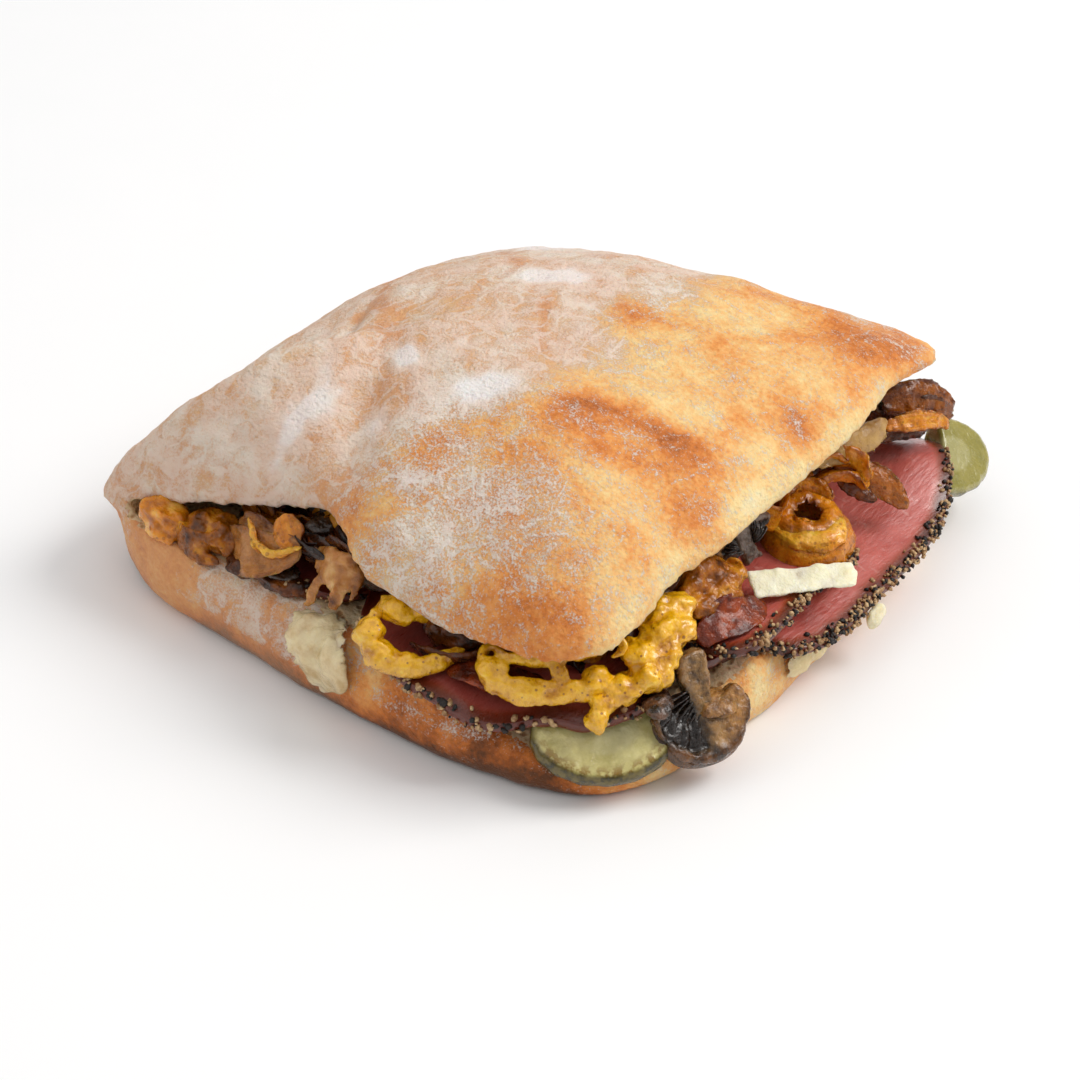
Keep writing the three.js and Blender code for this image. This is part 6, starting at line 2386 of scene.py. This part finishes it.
@dataclass
class Extras:
    """The pickles and the pieces of cheese."""

    beef: Beef

    # Node, middle, facing, upward side, half width and half height of each pickle slice.
    pickles: tuple[tuple[str, Triple, Triple, Triple, float, float, str, str], ...] = (
        ("pickle_near", (65, -58, 12.8), (0.4, -0.4, 0.82), (-0.6, 0.6, 0.6), 16, 11, "E6DC9A", "6C5C1C"),
        ("pickle_far", (69.5, 70, 17.6), (0.68, 0.12, 0.72), (-0.9, 0.3, 0.6), 16, 10, "86803C", "5A5826"),
    )
    # Node, colour, deeper colour, roughness, and how lumpy.
    cheeses: tuple[tuple[str, str, str, float, float], ...] = (
        ("cheese_shaving", "FBF5D8", "EADFB4", 0.5, 0.3), ("cheese_melted_left", "F4E2B8", "C8A468", 0.2, 0.15),
        ("cheese_melted_right", "F0DDAC", "D0AE6C", 0.3, 0.15),
        ("cheese_scrap_right", "F4EBCC", "DCCA98", 0.45, 0.4),
        ("cheese_under_lid", "BC9450", "8A6230", 0.2, 0.4),
    )

    def build(self) -> None:
        """Builds and dresses the pickles and the cheese."""
        for node, at, normal, up, half, tall, flesh, skin in self.pickles:
            form = bumpy(remesh(solid_of(node), 0.6, 4), ((9.0, 0.4), (2.5, 0.12)), 81)
            self.beef.slices[0].cover(self.beef.bread, form)
            face = unit(np.array(normal, float))
            side = unit(np.cross(np.array(up, float), face))
            top = np.cross(face, side)
            p = form.points - np.array(at)
            edge = np.hypot(p @ side / half, p @ top / tall)
            low = smooth(form.points[:, 0] - form.points[:, 1], 118, 132)
            form.marks = {"skin": smooth(edge + 0.1 * low, 0.93, 1.0), "seeds": smooth(edge, 0.62, 0.3)}
            form.marks["smear"] = low * smooth(edge, 0.6, 0.85)
            Piece.put(node + "_slice", form, [PickledCucumber(node + "_flesh", flesh, skin)], node, [node])
        for node, code, deep, rough, height in self.cheeses:
            form = solid_of(node)
            if node == "cheese_under_lid":
                sag = ((62, 22, 37.6), (64.6, 30, 38.4), (66.4, 38, 38), (67.6, 45.6, 36.6))
                form = Form.join([form, Strip(sag, 7.5, 2.4, across=(-0.3, 0.5, 0.8), ruffle=1.0, seed=88).form()])
            form = remesh(form, 0.42, 1)
            if node == "cheese_under_lid":
                form.push(-0.6)
            if node == "cheese_shaving":
                middle = form.points.mean(axis=0)
                thin = np.linalg.svd(form.points - middle, full_matrices=False)[2][2]
                thin = thin * np.sign(thin[2])
                depth = (form.points - middle) @ thin
                form.points -= (0.55 * (depth - depth.max()))[:, None] * thin
                form.push(0.45 * Noise(86).layers(form.points, 4.5, 2))
            if "melted" in node:
                form.push(1.1 * Noise(87).layers(form.points / [1, 1, 4.0], 4.2, 1))
            form = bumpy(form, ((3.5, height), (1.1, 0.04 if "melted" in node else 0.12)), 85)
            Piece.put(node + "_piece", form, [Curd(node + "_curd", code, deep, rough)], node, [node])


# ---- The heap ------------------------------------------------------------------------------------


@dataclass
class Heap:
    """The heap of fried onions and mushrooms between the beef and the lid."""

    bread: CiabattaRoll
    outline: Outline = Outline(
        6, 0, 57, 60, 4,
        (
            (-180, -6), (-150, -6), (-135, 0), (-112, 2), (-100, -1), (-84, 2), (-66, -1), (-50, -2), (-38, 3),
            (-20, 0), (-5, -1), (12, 1), (30, -2), (44, 5), (70, 0), (90, -2), (110, 0), (135, -6),
        ),
    )
    shrink: float = 4.0
    caps: int = 20
    # First and last degree, count, nearest and farthest share, lowest and highest level, and how fried.
    # The rows along the front openings are fried darker to paint the shade inside the openings.
    rows: tuple[tuple[float, float, int, float, float, float, float, float], ...] = (
        (-152, 150, 110, 0.8, 0.99, 0.12, 0.92, 0.0), (-100, -44, 34, 0.94, 1.06, 0.0, 0.8, 0.4),
        (-148, -118, 14, 0.9, 1.04, 0.0, 0.4, 0.3), (-44, -8, 14, 0.92, 1.03, 0.0, 0.7, 0.2),
        (-116, -90, 14, 0.96, 1.1, 0.0, 0.3, 0.6),
    )

    # Centre, radii, turn, shape, roughness and frying of the soft onions on the bread at the left.
    mush: tuple[tuple[Triple, Triple, float, int, float, float], ...] = (
        ((-27, -68.6, 21.4), (5, 3.4, 2.2), 10, 97, 0.4, 0.3),
        ((-20, -68.4, 21.6), (5, 3, 2), -10, 98, 0.5, 0.4),
        ((-13.6, -67.6, 21.6), (4, 2.8, 1.8), 0, 99, 0.5, 0.4),
    )

    def core(self) -> Form:
        """The inside of the heap, coloured very dark to paint the shade within it.

        Returns:
            The form.
        """
        form = remesh(solid_of("filling_heap"), 1.6, 2)
        x, y, z = form.points.T
        degrees, distance, rim = self.outline.place(x, y)
        pull = np.minimum(distance, self.shrink * smooth(distance / rim, 0.5, 1.0)) / np.maximum(distance, 1)
        form.points[:, 0] -= (x - self.outline.x) * pull
        form.points[:, 1] -= (y - self.outline.y) * pull
        return bumpy(form, ((9.0, 1.4), (3.5, 0.7)), 91)

    def floor(self, x: Array, y: Array) -> Array:
        """Height of the beef's top under the heap."""
        return self.bread.bed(x, y) + 7.8

    def strips(self) -> list[tuple[Fry, Form]]:
        """Onion strips along the heap's open sides.

        Returns:
            Each strip's finish and form.
        """
        rng = np.random.default_rng(93)
        kinds = (Fry.BROWN, Fry.AMBER, Fry.GOLDEN, Fry.GLOSSY)
        made = []
        for k, row in enumerate(row for row in self.rows for _ in range(row[2])):
            degrees = rng.uniform(row[0], row[1])
            reach = float(self.outline.reach(np.array([degrees]))[0])
            share = rng.uniform(row[3], row[4])
            bend = rng.uniform(-1, 1) * 0.9
            length = rng.uniform(12, 26)
            stops = []
            level = rng.uniform(row[5], row[6])
            for f in np.linspace(-0.5, 0.5, 5):
                turn = math.radians(degrees) + f * length / reach
                far = reach * share + rng.uniform(-1.6, 1.6) - 5 * abs(f) * (1 + bend)
                x = self.outline.x + far * math.cos(turn)
                y = self.outline.y + far * math.sin(turn)
                low = float(self.floor(np.array([x]), np.array([y]))[0]) + 1.2
                high = float(self.bread.ceiling(np.array([x]), np.array([y]))[0]) - 2.4
                high = max(high, low + 0.6)
                z = low + (high - low) * min(max(level + rng.uniform(-0.16, 0.16), 0), 1)
                stops.append((x, y, z))
            strip = Strip(
                tuple(stops), rng.uniform(3.5, 7), rng.uniform(0.9, 1.6),
                across=tuple(unit(rng.normal(size=3) * (0.5, 0.5, 1.0))), twist=rng.uniform(-60, 60),
                cup=rng.uniform(-0.4, 0.4), ruffle=0.6, seed=300 + k, stations=30, sides=12,
                fried=row[7] + rng.uniform(-0.25, 0.35),
            )
            made.append((kinds[rng.choice(4, p=(0.42, 0.34, 0.12, 0.12))], strip.form()))
        return made

    def mushrooms(self) -> Form:
        """Mushroom pieces among the onions.

        Returns:
            The form, marked as the mushrooms are.
        """
        rng = np.random.default_rng(94)
        made = []
        for k in range(self.caps):
            degrees = rng.uniform(-150, 148)
            reach = float(self.outline.reach(np.array([degrees]))[0]) * rng.uniform(0.82, 0.95)
            x = self.outline.x + reach * math.cos(math.radians(degrees))
            y = self.outline.y + reach * math.sin(math.radians(degrees))
            low = float(self.floor(np.array([x]), np.array([y]))[0])
            high = float(self.bread.ceiling(np.array([x]), np.array([y]))[0])
            z = blend(low, max(high, low + 1), rng.uniform(0.25, 0.75))
            radii = (rng.uniform(3.5, 6), rng.uniform(2.5, 4), rng.uniform(1.2, 2.2))
            form = lump((x, y, float(z)), radii, rng.uniform(0, 180), 400 + k, 0.3)
            wave = Noise(401 + k).layers(form.points, 4, 2)
            form.marks = {"skin": smooth(wave, -0.1, 0.3), "gill": smooth(wave, -0.2, -0.5)}
            made.append(form)
        return Form.join(made)

    def build(self) -> None:
        """Builds and dresses the heap."""
        core = self.core()
        zero = np.zeros(len(core.points))
        # Painted shade: the core is fried darker than the strips on it.
        core.marks = {"along": zero, "across": zero, "strand": zero, "fried": zero + 0.6}
        slot = "filling_heap"
        Piece.put("heap_core", core, [FriedOnion("onion_brown", Fry.BROWN)], slot, [slot])
        strips = self.strips()
        for fry in (Fry.BROWN, Fry.AMBER, Fry.GOLDEN, Fry.GLOSSY):
            forms = [form for kind, form in strips if kind is fry]
            form = bumpy(Form.join(forms), ((3.0, 0.2), (1.2, 0.1)), 95)
            name = fry.name.lower()
            Piece.put("heap_" + name, form, [FriedOnion("onion_" + name, fry)], slot)
        mush = OnionPiece(slot, Fry.BROWN, tuple(Lump(*spot) for spot in self.mush), True).form()
        Piece.put("heap_mush", mush, [FriedOnion("onion_brown", Fry.BROWN)], slot)
        caps = bumpy(self.mushrooms(), ((2.5, 0.35), (1.0, 0.14)), 96)
        Piece.put("heap_mushrooms", caps, [Fungus("heap_mushroom_flesh", "6A4C38", "38200F")], slot)


# ---- The studio ----------------------------------------------------------------------------------


@dataclass
class Studio:
    """Camera, lights and the pale floor."""

    aim: Triple = (8.79, -15.81, 15.0)
    stand: Triple = (327.2, -415.9, 377.5)
    lens: float = 94.6

    def camera(self) -> None:
        """Makes the camera."""
        data = bpy.data.cameras.new("camera")
        data.lens = self.lens
        data.sensor_width = 36.0
        data.shift_x, data.shift_y = 0.0009, 0.0019
        data.clip_start, data.clip_end = 0.01, 20.0
        camera = bpy.data.objects.new("camera", data)
        aim, stand = Vector(self.aim) * MM, Vector(self.stand) * MM
        camera.location = aim + stand
        camera.rotation_euler = (-stand).to_track_quat("-Z", "Y").to_euler()
        bpy.context.scene.collection.objects.link(camera)
        bpy.context.scene.camera = camera

    def lamp(self, name: str, place: Triple, size: float, power: float, tint: str) -> None:
        """Makes a soft square lamp aimed at the sandwich.

        Args:
            name: Its name.
            place: Where it hangs, in metres.
            size: Its side, in metres.
            power: Its strength in watts.
            tint: The colour of its light.
        """
        data = bpy.data.lights.new(name, "AREA")
        data.size, data.energy, data.color = size, power, colour(tint)[:3]
        lamp = bpy.data.objects.new(name, data)
        lamp.location = place
        aim = Vector((0, 0, 0.03)) - Vector(place)
        lamp.rotation_euler = aim.to_track_quat("-Z", "Y").to_euler()
        bpy.context.scene.collection.objects.link(lamp)

    def floor(self) -> None:
        """Makes the plain pale floor."""
        mesh = bpy.data.meshes.new("floor")
        half = 6.0
        corners = [(-half, -half, 0), (half, -half, 0), (half, half, 0), (-half, half, 0)]
        mesh.from_pydata([(x, y, -0.0002) for x, y, _ in corners], [], [(0, 1, 2, 3)])
        mesh.materials.append(Paper("pale_floor").make())
        floor = bpy.data.objects.new("floor", mesh)
        bpy.context.scene.collection.objects.link(floor)

    def light(self) -> None:
        """Makes the lamps and the sky."""
        self.lamp("window", (1.05, 0.95, 1.5), 1.0, 27.0, "FFFDFA")
        self.lamp("fill", (-1.0, -1.4, 1.1), 1.4, 4.5, "FFF8F0")
        world = bpy.data.worlds.new("sky")
        world.use_nodes = True
        tree = Tree(world.node_tree)
        place = tree.add("ShaderNodeTexCoord").outputs["Generated"]
        parts = tree.add("ShaderNodeSeparateXYZ")
        tree.join(place, parts.inputs[0])
        strength = tree.span(parts.outputs[2], 0.0, 1.0, (0.15, 0.84))
        seen = tree.add("ShaderNodeLightPath").outputs["Is Camera Ray"]
        strength = tree.maths("MAXIMUM", strength, tree.maths("MULTIPLY", seen, 0.9))
        sky = tree.add("ShaderNodeBackground")
        sky.inputs["Color"].default_value = (1, 1, 1, 1)
        tree.join(strength, sky.inputs["Strength"])
        tree.join(sky.outputs[0], tree.add("ShaderNodeOutputWorld").inputs["Surface"])
        bpy.context.scene.world = world
        bpy.context.scene.view_settings.view_transform = "Standard"


@dataclass(frozen=True)
class Paper(Finish):
    """The floor's even pale finish, with a trace of tooth."""

    def dress(self, tree: Tree, shader: bpy.types.Node) -> None:
        """Lays out the floor."""
        tooth = tree.noise(tree.places(), 40.0, 2.0)
        tree.join(tree.mix(tooth, "F6F7F8", "F9F9FA"), shader.inputs["Base Color"])
        shader.inputs["Roughness"].default_value = 0.8


def main() -> None:
    """Builds the sandwich from the bread inwards."""
    logging.basicConfig(level=logging.INFO, format="%(name)s: %(message)s")
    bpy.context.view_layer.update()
    studio = Studio()
    studio.camera()
    bread = CiabattaRoll()
    bread.build()
    beef = Beef(bread)
    beef.build()
    Onions().build()
    Mushrooms().build()
    Mustard().build()
    Extras(beef).build()
    Heap(bread).build()
    studio.floor()
    studio.light()


if __name__ == "__main__":
    main()
